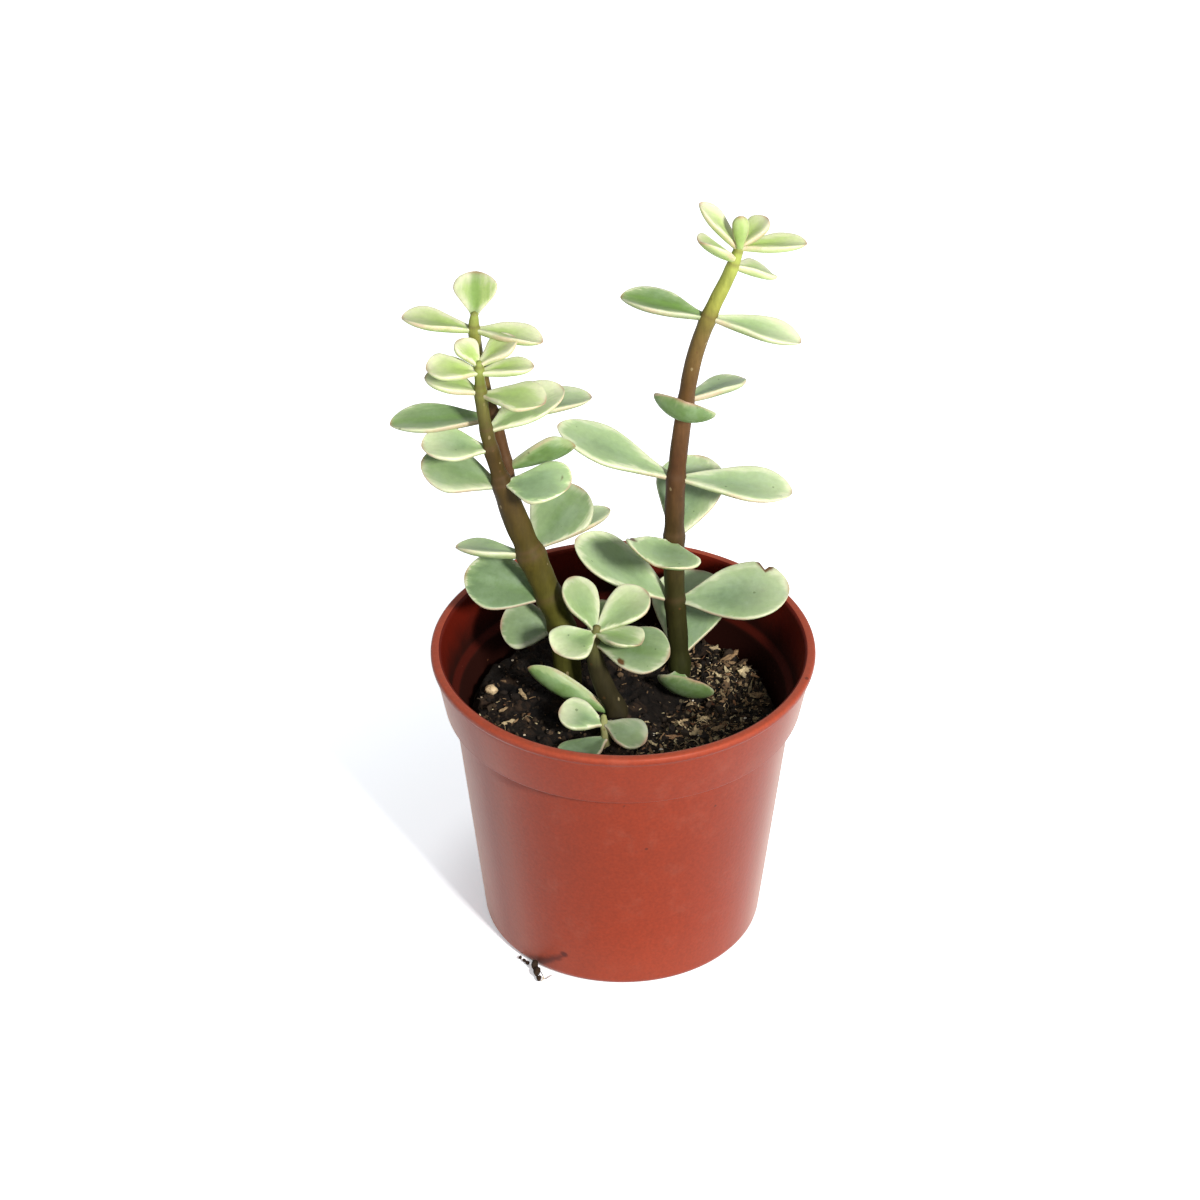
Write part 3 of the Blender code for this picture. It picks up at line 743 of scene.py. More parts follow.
def settle(piece, node=None):
    """Rides the piece on the body and hides the solid that it stands for, if any."""
    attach(piece, BODY)
    if node:
        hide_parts(node)


class Nodes:
    """Adds nodes to one shader tree."""

    def __init__(self, tree):
        self.tree = tree

    def feed(self, node, inputs):
        """Sets or links each input of a node."""
        for key, value in inputs.items():
            if isinstance(value, bpy.types.NodeSocket):
                self.tree.links.new(value, node.inputs[key])
            else:
                node.inputs[key].default_value = value

    def add(self, kind, inputs, **settings):
        """Adds a node with its settings and inputs, and returns its outputs."""
        node = self.tree.nodes.new(kind)
        for key, value in settings.items():
            setattr(node, key, value)
        self.feed(node, inputs)
        return node.outputs

    def blend(self, share, low, high, mode="MIX"):
        """Colour between low and high by share."""
        return self.add("ShaderNodeMix", {0: share, 6: low, 7: high}, data_type="RGBA", blend_type=mode)[2]

    def between(self, value, low, high, at_low=0.0, at_high=1.0, kind="SMOOTHSTEP"):
        """Value carried from the range low to high into the range at_low to at_high, held at its ends."""
        inputs = {"Value": value, "From Min": low, "From Max": high, "To Min": at_low, "To Max": at_high}
        return self.add("ShaderNodeMapRange", inputs, interpolation_type=kind)["Result"]

    def calc(self, operation, *values):
        """Result of one sum on values or outputs."""
        return self.add("ShaderNodeMath", dict(enumerate(values)), operation=operation)[0]

    def times(self, first, second):
        return self.calc("MULTIPLY", first, second)

    def plus(self, first, second):
        return self.calc("ADD", first, second)

    def swing(self, value, width):
        """Value from 0 to 1 carried to both sides of 0, over a width."""
        return self.times(self.calc("SUBTRACT", value, 0.5), width)

    def noise(self, place, scale, detail=3.0, roughness=0.55):
        inputs = {"Vector": place, "Scale": scale, "Detail": detail, "Roughness": roughness}
        return self.add("ShaderNodeTexNoise", inputs)["Fac"]

    def parts(self, vector):
        return self.add("ShaderNodeSeparateXYZ", {0: vector})

    def seen(self):
        """1 for rays from the camera or off a glossy surface, 0 for the rest."""
        ray = self.add("ShaderNodeLightPath", {})
        return self.calc("MAXIMUM", ray["Is Camera Ray"], ray["Is Glossy Ray"])


class Effect(Nodes):
    """A shared shader group: a place and numbers in, numbers out."""

    def __init__(self, name, inputs, outputs):
        super().__init__(bpy.data.node_groups.new(name, "ShaderNodeTree"))
        sockets = self.tree.interface
        sockets.new_socket(name="Place", in_out="INPUT", socket_type="NodeSocketVector")
        for key, value in inputs.items():
            sockets.new_socket(name=key, in_out="INPUT", socket_type="NodeSocketFloat").default_value = value
        for key in outputs:
            sockets.new_socket(name=key, in_out="OUTPUT", socket_type="NodeSocketFloat")
        self.given = self.add("NodeGroupInput", {})


def make_specks():
    """Sparse specks: the cells of a Voronoi pattern whose own random number falls in the share, each a
    ragged spot at the cell's middle."""
    specks = Effect("Specks", {"Scale": 1000.0, "Size": 0.2, "Share": 0.1}, ("Mask", "Tone"))
    given = specks.given
    cells = specks.add("ShaderNodeTexVoronoi", {"Vector": given["Place"], "Scale": given["Scale"]})
    lot = specks.add("ShaderNodeSeparateColor", {0: cells["Color"]})
    distance = specks.plus(cells["Distance"], specks.swing(specks.noise(given["Place"], 4200.0, 2.0), 0.25))
    reach = specks.times(given["Size"], specks.plus(0.4, lot[1]))
    inside = specks.calc("LESS_THAN", distance, reach)
    picked = specks.calc("LESS_THAN", lot[0], given["Share"])
    specks.add("NodeGroupOutput", {"Mask": specks.times(inside, picked), "Tone": lot[2]})


def make_mottle():
    """Two sizes of noise mixed by a share: a factor that swings to both sides of 1 by the depth."""
    mottle = Effect("Mottle", {"Scale": 1000.0, "Fine Share": 0.4, "Depth": 0.1}, ("Factor", "Coarse"))
    given = mottle.given
    coarse = mottle.noise(given["Place"], given["Scale"])
    fine = mottle.noise(given["Place"], mottle.times(given["Scale"], 7.0), 2.0)
    both = mottle.add("ShaderNodeMix", {0: given["Fine Share"], 2: coarse, 3: fine})[0]
    factor = mottle.plus(1.0, mottle.swing(both, mottle.times(given["Depth"], 2.0)))
    mottle.add("NodeGroupOutput", {"Factor": factor, "Coarse": coarse})


class Paint(Nodes):
    """A new material: its nodes and the place on its object."""

    def __init__(self, name):
        self.material = bpy.data.materials.new(name)
        self.material.use_nodes = True
        super().__init__(self.material.node_tree)
        self.place = self.add("ShaderNodeTexCoord", {})["Object"]

    def stored(self, name):
        """A vector stored on the mesh."""
        return self.add("ShaderNodeAttribute", {}, attribute_name=name)["Vector"]

    def values(self, name):
        """The three parts of a vector stored on the mesh."""
        return self.parts(self.stored(name))

    def stretched(self, x, y, z):
        """Place multiplied along each axis."""
        return self.add("ShaderNodeMapping", {"Vector": self.place, "Scale": (x, y, z)})["Vector"]

    def grain(self, *sizes):
        """Noise at the place on the object."""
        return self.noise(self.place, *sizes)

    def effect(self, name, place, inputs):
        """Places a shared effect with its own values, and makes both effects if they aren't there yet."""
        if name not in bpy.data.node_groups:
            make_specks()
            make_mottle()
        return self.add("ShaderNodeGroup", {"Place": place, **inputs}, node_tree=bpy.data.node_groups[name])

    def mottle(self, scale, depth):
        return self.effect("Mottle", self.place, {"Scale": scale, "Fine Share": 0.5, "Depth": depth})

    def specks(self, place, scale, size, share):
        return self.effect("Specks", place, {"Scale": scale, "Size": size, "Share": share})

    def specked(self, base, tint, strength, *specks):
        """Base with specks of a tint."""
        return self.blend(self.times(self.specks(*specks)["Mask"], strength), base, tint)

    def scaled(self, base, factor):
        """Colour multiplied by a value."""
        grey = self.add("ShaderNodeCombineColor", {0: factor, 1: factor, 2: factor})[0]
        return self.blend(1.0, base, grey, "MULTIPLY")

    def varied(self, base, value, low, high, darkest, lightest):
        """Colour multiplied by a value that is carried evenly from darkest to lightest."""
        return self.scaled(base, self.between(value, low, high, darkest, lightest, "LINEAR"))

    def finish(self, base, roughness, specular, height, depth_mm, **inputs):
        """Feeds the shader its colour, roughness, a bump whose height runs from 0 to 1, and more values."""
        bump = self.add("ShaderNodeBump", {"Height": height, "Distance": depth_mm * MM, "Strength": 1.0})
        plain = {"Base Color": base, "Roughness": roughness, "Specular IOR Level": specular}
        further = {key.replace("_", " "): value for key, value in inputs.items()}
        self.feed(self.tree.nodes["Principled BSDF"], {**plain, "Normal": bump["Normal"], **further})
        return self.material


def smear_of_mix(paint, x, y, z):
    """Share of the smear at the pot's foot: a ragged slanting line, wider on its left, with a round end."""
    ragged = paint.grain(900.0, 5.0, 0.7)
    off_line = paint.calc("SUBTRACT", z, paint.calc("MULTIPLY_ADD", x, SMEAR_SLOPE, SMEAR_HEIGHT))
    reach = paint.calc("MULTIPLY_ADD", ragged, 1.6 * MM, paint.calc("ABSOLUTE", off_line))
    wide = paint.between(x, -13.5 * MM, -8.4 * MM, 3.0 * MM, 1.5 * MM, "LINEAR")
    line = paint.between(reach, wide, paint.times(wide, 0.4), 0.0, 0.92)
    right_end = paint.between(x, -7.9 * MM, -8.6 * MM)
    ends = paint.times(right_end, paint.between(x, -14.6 * MM, -13.4 * MM))
    flat_place = paint.add("ShaderNodeCombineXYZ", {0: x, 2: z})[0]
    away = paint.add("ShaderNodeVectorMath", {0: flat_place, 1: SMEAR_BLOB}, operation="DISTANCE")["Value"]
    blob = paint.between(paint.calc("MULTIPLY_ADD", ragged, 0.9 * MM, away), 1.15 * MM, 0.7 * MM)
    smear = paint.calc("MAXIMUM", paint.times(line, ends), blob)
    return paint.times(smear, paint.between(y, 0.0, -2 * MM))


def plastic_material(settings, name, sheen):
    """Satin moulded plastic: sandy grain, faint flow marks, thin dust, dark specks and a smear of wet mix,
    with a painted highlight on the lip and painted floor light paling it towards the foot.
    """
    paint = Paint(name)
    flow = paint.noise(paint.stretched(1.0, 1.0, 0.12), 420.0)
    base = paint.scaled(settings.plastic, paint.mottle(160.0, 0.06)["Factor"])
    base = paint.varied(base, flow, 0.3, 0.7, 0.97, 1.03)
    base = paint.varied(base, paint.grain(2400.0, 2.0, 0.6), 0.3, 0.7, 0.88, 1.12)
    x, y, z = paint.parts(paint.place)
    # Paler plastic and a little dust at the top of the lip: painted highlight there, partly dust. Lower down
    # the plastic pales towards the foot: painted light bounced from the floor.
    lip_dust_and_highlight = paint.between(z, settings.height - 0.9 * MM, settings.height - 0.1 * MM)
    paler = paint.calc("MULTIPLY_ADD", lip_dust_and_highlight, 0.45, paint.between(z, 26 * MM, 0.0, 1.0, 1.22))
    base = paint.scaled(base, paler)
    patches = paint.between(paint.grain(240.0, 5.0, 0.65), 0.50, 0.80, 0.0, 0.08)
    dust = paint.plus(patches, paint.between(z, 12 * MM, 0.0, 0.0, 0.05))
    dust = paint.calc("MULTIPLY_ADD", lip_dust_and_highlight, 0.10, dust)
    base = paint.blend(dust, base, settings.dust)
    base = paint.blend(smear_of_mix(paint, x, y, z), base, settings.dirt)
    base = paint.specked(base, linear(56, 24, 16), 0.6, paint.place, 620.0, 0.14, 0.02)
    rough = paint.plus(settings.roughness, paint.times(dust, 0.6))
    height = paint.plus(paint.grain(1500.0), paint.times(flow, 0.6))
    haze = {"Sheen_Weight": sheen, "Sheen_Roughness": 0.27, "Sheen_Tint": (1.0, 0.78, 0.68, 1.0)}
    return paint.finish(base, rough, 0.12, height, 0.014, **haze)


def inner_plastic_material(settings):
    """The same plastic inside the pot, deeper in colour, under a dark layer that thickens downwards: painted
    shade.
    """
    paint = Paint("inner_plastic")
    base = paint.scaled(settings.inner, paint.mottle(160.0, 0.06)["Factor"])
    z = paint.parts(paint.place)[2]
    painted_shade = paint.swing(paint.noise(paint.stretched(1.0, 1.0, 0.5), 420.0, 5.0, 0.7), 0.45)
    painted_shade = paint.plus(painted_shade, paint.between(z, 46.0 * MM, 37.0 * MM, 0.0, 1.0, "LINEAR"))
    # Less of the dark layer on faces that look up, such as the ledge: painted light where they catch it
    upwards = paint.parts(paint.add("ShaderNodeTexCoord", {})["Normal"])[2]
    level = paint.between(upwards, 0.4, 0.9, 1.0, 0.62)
    painted_shade = paint.times(paint.between(painted_shade, 0.10, 0.85, 0.0, 0.92), level)
    base = paint.blend(painted_shade, base, settings.painted_shade)
    base = paint.specked(base, linear(96, 60, 40), paint.times(painted_shade, 0.8), paint.place, 900.0, 0.16, 0.10)
    rough = paint.plus(settings.roughness + 0.1, paint.times(painted_shade, 0.3))
    return paint.finish(base, rough, 0.06, paint.grain(1500.0), 0.02)


def peat_material(settings):
    """Dark crumbs, painted shade in black between them, and fibres and mineral flecks too small to be pieces.
    """
    paint = Paint("damp_peat")
    lift, tone, litter = paint.values("crumb")
    mottle = paint.mottle(900.0, 0.75)
    crumbs = paint.blend(paint.between(tone, 0.50, 0.95, 0.0, 0.5), settings.peat, linear(70, 52, 38))
    crumbs = paint.scaled(crumbs, mottle["Factor"])
    # Low places between the crumbs go near-black: painted shade
    base = paint.blend(paint.between(lift, 0.50, 0.86), settings.hollow, crumbs)
    flecks = paint.specks(paint.stretched(1.0, 0.45, 1.0), 1700.0, 0.50, 0.5)
    wanted = paint.plus(litter, paint.times(mottle["Coarse"], 0.7))
    wanted = paint.times(paint.between(wanted, 0.55, 1.15, 0.0, 0.85), paint.between(lift, 0.5, 0.75))
    tint = paint.blend(flecks["Tone"], settings.fibre, settings.cream)
    base = paint.blend(paint.times(flecks["Mask"], wanted), base, tint)
    height = paint.grain(2600.0, 4.0, 0.7)
    return paint.finish(base, paint.between(height, 0.3, 0.7, 0.75, 1.0), 0.15, height, 0.16)


def litter_material(settings):
    """Bark and fibre: dark brown to cream by each bit's own tone, with grain along it."""
    paint = Paint("dry_bark_bits")
    tone, along, lot = paint.values("bit")
    dark = paint.blend(paint.between(tone, 0.0, 0.55), linear(24, 18, 14), settings.fibre)
    base = paint.blend(paint.between(tone, 0.55, 1.0), dark, settings.cream)
    base = paint.blend(paint.between(lot, 0.90, 0.94, 0.0, 0.25), base, linear(160, 96, 60))
    grain = paint.grain(3200.0, 4.0, 0.7)
    base = paint.varied(base, grain, 0.25, 0.75, 0.35, 1.40)
    base = paint.scaled(base, paint.between(along, 0.0, 0.16, 0.6, 1.0))
    return paint.finish(base, 0.85, 0.2, grain, 0.06)


def grain_material():
    """Mineral grains: white to tan, slightly glossy, dusted with peat."""
    paint = Paint("mineral_grain")
    base = paint.blend(paint.values("bit")[0], linear(222, 216, 202), linear(206, 178, 130))
    dusted = paint.grain(1800.0, 4.0, 0.7)
    base = paint.blend(paint.between(dusted, 0.44, 0.64, 0.0, 0.70), base, linear(98, 70, 46))
    return paint.finish(base, 0.6, 0.5, dusted, 0.05)


def bark_material(settings):
    """Green to brown skin by height, streaked along the stem, with pale flecks and darker node rings."""
    paint = Paint("young_bark")
    ring, youth, _ = paint.values("node")
    streak = paint.noise(paint.stretched(1.0, 1.0, 0.22), 1700.0, 4.0, 0.65)
    base = paint.varied(paint.stored("bark"), streak, 0.25, 0.75, 0.80, 1.22)
    base = paint.varied(base, paint.grain(420.0), 0.3, 0.7, 0.88, 1.12)
    base = paint.blend(paint.times(ring, 0.45), base, linear(86, 62, 42))
    old = paint.calc("SUBTRACT", 1.0, youth)
    upright = paint.stretched(1.0, 1.0, 0.6)
    base = paint.specked(base, linear(178, 160, 120), paint.times(old, 0.4), upright, 1500.0, 0.26, 0.10)
    base = paint.specked(base, settings.scar, paint.times(old, 0.5), paint.place, 1100.0, 0.20, 0.08)
    rough = paint.between(youth, 0.0, 1.0, 0.58, 0.42, "LINEAR")
    return paint.finish(base, rough, 0.16, streak, 0.05)


def leaf_material(settings):
    """Variegated leaf: a green middle that pales smoothly towards a streaky cream margin, wider along one
    edge than the other, with a thin pinkish line on part of the edge, a darker point at the tip, a
    greener underside, a waxy bloom, corky specks and scars.
    """
    paint = Paint("variegated_leaf")
    blend = paint.blend
    between = paint.between
    times = paint.times
    rim, upper, youth = paint.values("leaf")
    along, across, lot = paint.values("blade")
    margin_width, scarred, point = paint.values("mark")
    tone_and_painted_light, green, wash = paint.values("look")
    drawn_out = {0: across, 1: times(along, 0.24), 2: times(lot, 37.0)}
    streak = paint.noise(paint.add("ShaderNodeCombineXYZ", drawn_out)[0], 1.25, 3.0, 0.6)
    ragged = paint.grain(1300.0, 4.0, 0.6)
    patch = paint.grain(300.0, 4.0, 0.6)
    cloud = paint.grain(170.0, 2.0, 0.5)
    shift = paint.plus(paint.swing(streak, 2.2), paint.swing(ragged, 0.4))
    shift = paint.plus(shift, paint.swing(cloud, 2.4))
    depth = paint.calc("DIVIDE", paint.plus(rim, shift), margin_width)
    edge = times(between(rim, 0.08, 0.42, 0.66, 0.0), between(cloud, 0.40, 0.58, 0.25, 1.0))
    cream = paint.calc("MAXIMUM", between(depth, 0.0, 1.1, 0.85, 0.0), edge)

    middle = blend(youth, settings.old_green, settings.young_green)
    middle = blend(between(lot, 0.0, 1.0, 0.0, 0.30, "LINEAR"), middle, linear(140, 166, 112))
    middle = blend(green, middle, linear(104, 138, 66))
    middle = paint.varied(middle, patch, 0.3, 0.7, 0.90, 1.10)
    paler = blend(youth, linear(152, 176, 124), linear(174, 196, 116))
    margin = blend(youth, settings.old_cream, settings.young_cream)
    top = blend(times(between(depth, 0.5, 4.2, 1.0, 0.0), 0.85), middle, paler)
    top = blend(times(wash, between(streak, 0.25, 0.60, 0.55, 1.0)), top, margin)
    top = blend(cream, top, margin)
    midrib = between(paint.calc("ABSOLUTE", across), 0.3, 1.1, 0.8, 0.0)
    top = blend(times(midrib, green), top, linear(112, 150, 62))
    below = blend(youth, settings.under_green, linear(154, 180, 98))
    below = paint.varied(below, patch, 0.3, 0.7, 0.85, 1.15)
    below_margin = blend(youth, linear(184, 192, 140), linear(204, 206, 162))
    below = blend(times(cream, 0.42), below, below_margin)
    # Each leaf's brightness: partly its own tone, partly painted light or shade for how lit it stands
    base = paint.scaled(blend(upper, below, top), tone_and_painted_light)

    base = paint.varied(base, ragged, 0.3, 0.7, 0.92, 1.08)
    bloom = times(between(patch, 0.40, 0.72, 0.02, 0.20), paint.calc("SUBTRACT", 1.0, youth))
    base = blend(bloom, base, linear(170, 184, 168))
    pink = times(between(rim, 0.04, 0.26, 0.5, 0.0), between(cloud, 0.44, 0.60, 0.1, 1.0))
    base = blend(pink, base, settings.blush)
    base = blend(times(point, 0.6), base, linear(150, 96, 78))
    faint = between(youth, 0.2, 0.9, 0.6, 0.1)
    base = paint.specked(base, linear(78, 92, 58), faint, paint.place, 900.0, 0.14, 0.10)
    base = blend(times(between(scarred, 0.08, 0.5), between(ragged, 0.25, 0.45)), base, settings.scar)
    waxy = settings.roughness
    rough = between(ragged, 0.3, 0.7, waxy - 0.05, waxy + 0.07, "LINEAR")
    height = paint.plus(times(ragged, 0.6), times(streak, 0.4))
    glow = {"Subsurface_Weight": 0.18, "Subsurface_Radius": FLESH_DEPTHS, "Subsurface_Scale": 1.0}
    return paint.finish(base, rough, 0.35, height, 0.05, **glow)


def rounded(profile, steps):
    """Profile of (radius, height, rounding) in mm with each corner a quadratic curve that starts and ends
    the rounding's length from it."""
    corners = np.array(profile, float)
    points = [corners[0, :2]]
    share = np.linspace(0, 1, steps)[:, None]
    for before, here, after in zip(corners[:-2], corners[1:-1], corners[2:]):
        back = before[:2] - here[:2]
        onwards = after[:2] - here[:2]
        cut = min(here[2], 0.48 * np.linalg.norm(back), 0.48 * np.linalg.norm(onwards))
        start = here[:2] + back / np.linalg.norm(back) * cut
        end = here[:2] + onwards / np.linalg.norm(onwards) * cut
        points += list((1 - share) ** 2 * start + 2 * share * (1 - share) * here[:2] + share**2 * end)
    points.append(corners[-1, :2])
    return np.array(points)


def cut_drain_holes(pot):
    """Cuts round holes along Z through the pot's floor, and keeps its smooth shading."""
    cutter_skin = Skin()
    low = -FLOOR
    high = 2 * FLOOR
    for angle in turns(DRAIN_HOLES):
        x = DRAIN_CIRCLE * np.cos(angle)
        y = DRAIN_CIRCLE * np.sin(angle)
        rings = np.stack([level_ring(DRAIN_RADIUS, turns(DRAIN_SIDES), z, x, y) for z in (low, high)])
        cutter_skin.add_rings([x, y, low], rings, [x, y, high])
    cutter = cutter_skin.make("hole_cutter", [])
    step = pot.modifiers.new("holes", "BOOLEAN")
    step.object = cutter
    step.operation = "DIFFERENCE"
    step.solver = "EXACT"
    graph = bpy.context.evaluated_depsgraph_get()
    mesh = bpy.data.meshes.new_from_object(pot.evaluated_get(graph))
    pot.modifiers.clear()
    pot.data = mesh
    bpy.data.objects.remove(cutter, do_unlink=True)
    mesh.shade_smooth()
    mesh.set_sharp_from_angle(angle=np.radians(SHARP_ANGLE))


def pot_profile(settings):
    """Half section of the pot in mm, from under its floor round the outside to the top of its floor."""
    rim = settings.rim_radius / MM
    top = settings.height / MM
    wall = settings.wall / MM
    collar_foot = top - settings.collar_height / MM
    lip_low = top - LIP_HEIGHT
    ledge = collar_foot + LEDGE_THICKNESS
    return rounded(
        (
            (0.0, 0.0, 0.0),
            (FOOT_RADIUS, 0.0, FOOT_ROUND),
            (BODY_TOP_RADIUS, collar_foot - 0.15, 0.12),
            (COLLAR_FOOT_RADIUS, collar_foot, 0.45),
            (rim - LIP_STEP, lip_low, 0.35),
            (rim, lip_low + LIP_STEP, 0.45),
            (rim, top, LIP_ROUND),
            (rim - LIP_WIDTH, top, LIP_ROUND),
            (COLLAR_FOOT_RADIUS - wall, ledge + LEDGE_ROUND, 0.5),
            (BODY_TOP_RADIUS - wall, ledge, 0.5),
            (FOOT_RADIUS - wall, FLOOR, 0.8),
            (0.0, FLOOR, 0.0),
        ),
        CORNER_STEPS,
    )


def face_vectors(mesh, name):
    """The centre or normal of each face."""
    values = np.empty(len(mesh.polygons) * 3)
    mesh.polygons.foreach_get(name, values)
    return values.reshape(-1, 3)


def build_pot(settings):
    """The profile carried round +Z, with the inside and the faces under the collar in their own plastic:
    darker inner plastic or a copy without sheen, both painted shade.
    """
    profile = pot_profile(settings)
    rings = np.stack([level_ring(radius, turns(POT_SIDES), z) for radius, z in profile[1:-1]])
    skin = Skin()
    skin.add_rings([0, 0, profile[0, 1]], rings, [0, 0, profile[-1, 1]])
    plastic = plastic_material(settings, "terracotta_plastic", 1.0)
    shaded = plastic_material(settings, "shaded_plastic", 0.0)
    pot = skin.make("nursery_pot", [plastic, inner_plastic_material(settings), shaded])
    middles = face_vectors(pot.data, "center")
    normals = face_vectors(pot.data, "normal")
    reach = np.hypot(middles[:, 0], middles[:, 1])
    up = normals[:, 2]
    inwards = (normals[:, :2] * middles[:, :2]).sum(axis=1) < -INWARD_LEAN * reach
    within = reach < settings.rim_radius - LIP_WIDTH * MM * 0.95
    inner = inwards | (within & (up > UPWARD_LEAN)) | (up < -UNDERSIDE_LEAN)
    slots = np.where(inner, INNER_SLOT, np.where(up < -SHADED_LEAN, SHADED_SLOT, OUTER_SLOT))
    pot.data.polygons.foreach_set("material_index", slots.astype(np.int32))
    cut_drain_holes(pot)
    settle(pot, "pot")


def disc_grid(count_each_way):
    """Square grid laid on a disc: rings of the square become circles, with equal steps along each side."""
    line = np.linspace(-1, 1, count_each_way)
    a, b = np.meshgrid(line, line, indexing="ij")
    wide = np.abs(a) > np.abs(b)
    reach = np.where(wide, a, b)
    safe = np.where(reach == 0, 1.0, reach)
    turn = np.where(wide, np.pi / 4 * b / safe, np.pi / 2 - np.pi / 4 * a / safe)
    return reach * np.cos(turn), reach * np.sin(turn)


def build_root_ball(settings):
    """A disc of crumbs on top, falling away at the wall, and plain tapered sides down to the floor."""
    side = SOIL_GRID
    u, v = disc_grid(side)
    edge = soil_edge(np.arctan2(v, u))
    x = u * edge
    y = v * edge
    lumps = crumbs_at(x, y)
    lift = sum(share * lump for share, (lump, _) in zip(CRUMB_SHARES, lumps))
    tone = sum(share * label for share, (_, label) in zip(TONE_SHARES, lumps))
    index = np.arange(side * side).reshape(side, side)
    quads = np.stack([index[:-1, :-1], index[1:, :-1], index[1:, 1:], index[:-1, 1:]], axis=-1).reshape(-1, 4)
    border = np.concatenate([index[:, 0], index[-1, 1:], index[-2::-1, -1], index[0, -2:0:-1]])
    top = np.stack([x, y, soil_surface(x, y)], axis=-1).reshape(-1, 3)
    around = np.arctan2(top[border, 1], top[border, 0])
    rows = [level_ring(radius, around, z) for radius, z in SOIL_SIDES]
    points = np.vstack([top, *rows, [[0.0, 0.0, SOIL_FOOT]]])
    total = len(border)
    rings = [border] + [side * side + k * total + np.arange(total) for k in range(len(rows))]
    walls = [np.stack([a, b, np.roll(b, -1), np.roll(a, -1)], axis=1) for a, b in zip(rings[:-1], rings[1:])]
    fan = np.stack([rings[-1], np.full(total, len(points) - 1), np.roll(rings[-1], -1)], axis=1)
    crumb = np.zeros((len(points), 3))
    crumb[: side * side] = np.stack([lift, tone, litter_density(x, y)], axis=-1).reshape(-1, 3)
    crumb[side * side :] = SIDE_TONE
    skin = Skin("crumb")
    skin.add(points, np.concatenate([quads, *walls]), fan, crumb=crumb)
    settle(skin.make("root_ball", [peat_material(settings)]), "soil")


def scatter(dice, wanted, reach):
    """Places on the mix picked by the litter density, and clear of the pot's wall."""
    tries = dice.uniform(-reach, reach, (wanted * 14, 2))
    keep = np.hypot(tries[:, 0], tries[:, 1]) < reach
    keep &= dice.random(len(tries)) < litter_density(tries[:, 0], tries[:, 1])
    return tries[keep][:wanted]


def on_soil(places, above):
    """Places on the plane raised to a height above the crumbs."""
    return np.column_stack([places, soil_surface(places[:, 0], places[:, 1]) + above])


def add_chips(skin, dice, places, sizes, headings, tones):
    """Torn splinters: rings of six points whose width is a power of a sine along the bit, all jittered. Each
    is bent, then laid along its heading with a random tilt and roll."""
    total = len(places)
    t = ((np.arange(CHIP_ROWS) + 0.7) / (CHIP_ROWS + 0.4))[:, None]
    angle = turns(CHIP_SIDES)
    girth = np.sin(np.pi * t) ** 0.6
    rings = np.broadcast_arrays(t - 0.5, girth * np.cos(angle) / 2, girth * np.sin(angle) / 2)
    shape = np.vstack([[[-0.5, 0, 0]], np.stack(rings, axis=-1).reshape(-1, 3), [[0.5, 0, 0]]])
    jitter = dice.normal(0, 1, (total, len(shape), 3)) * CHIP_JITTER
    local = (shape[None] + jitter) * sizes[:, None, :]
    bends = dice.normal(0, CHIP_BEND, total)[:, None]
    local[:, :, 2] += sizes[:, None, 0] * bends * (shape[None, :, 0] * 2) ** 2
    tilts = dice.normal(0, CHIP_TILT, total)
    rolls = dice.normal(0, CHIP_ROLL, total)[:, None]
    level = np.cos(tilts)
    along = np.stack([np.cos(headings) * level, np.sin(headings) * level, np.sin(tilts)], axis=1)
    flat = np.stack([-np.sin(headings), np.cos(headings), np.zeros(total)], axis=1)
    across = flat * np.cos(rolls) + np.cross(along, flat) * np.sin(rolls)
    ways = np.stack([along, across, np.cross(along, across)], axis=1)
    points = on_soil(places, sizes[:, 2] * BIT_LIFT + 0.08)[:, None] + local @ ways
    bit = (tones[:, None], 0.5 - np.abs(shape[:, 0]), dice.random(total)[:, None])
    skin.add_bits(points, *tube_faces(CHIP_ROWS, CHIP_SIDES), bit)


def add_fibres(skin, dice, starts, lengths, radius, tones):
    """Thin hairs that turn steadily as they run over the mix: a ring of points at each step of the way."""
    total = len(starts)
    run = np.linspace(0, 1, FIBRE_ROWS)
    heading = dice.uniform(0, 2 * np.pi, total)[:, None] + dice.normal(0, 0.9, total)[:, None] * 2 * run
    step = (lengths / (FIBRE_ROWS - 1))[:, None]
    x = starts[:, :1] + np.cumsum(np.cos(heading) * step, axis=1)
    y = starts[:, 1:] + np.cumsum(np.sin(heading) * step, axis=1)
    pull = np.minimum(1.0, LITTER_REACH / np.hypot(x, y))
    x = x * pull
    y = y * pull
    arch = dice.uniform(0.0, 0.8, total)[:, None] * np.sin(np.pi * run)
    centres = np.stack([x, y, soil_base(x, y) + FIBRE_LIFT + arch], axis=-1)
    flat = np.stack([-np.sin(heading), np.cos(heading), np.zeros(heading.shape)], axis=-1)
    angle = turns(FIBRE_SIDES)[:, None]
    girth = radius[:, None, None, None] * (1 - 0.4 * run)[:, None, None]
    circles = flat[:, :, None] * np.cos(angle) + np.array([0.0, 0.0, 1.0]) * np.sin(angle)
    rings = (centres[:, :, None] + girth * circles).reshape(total, -1, 3)
    points = np.concatenate([centres[:, :1], rings, centres[:, -1:]], axis=1)
    skin.add_bits(points, *tube_faces(FIBRE_ROWS, FIBRE_SIDES), (tones[:, None], 0.5, 0.0))


def lump_mesh(divisions):
    """Points and triangles of a unit ball of even triangles."""
    work = bmesh.new()
    bmesh.ops.create_icosphere(work, subdivisions=divisions, radius=1.0)
    points = np.array([v.co for v in work.verts])
    triangles = np.array([[v.index for v in f.verts] for f in work.faces])
    work.free()
    return points, triangles


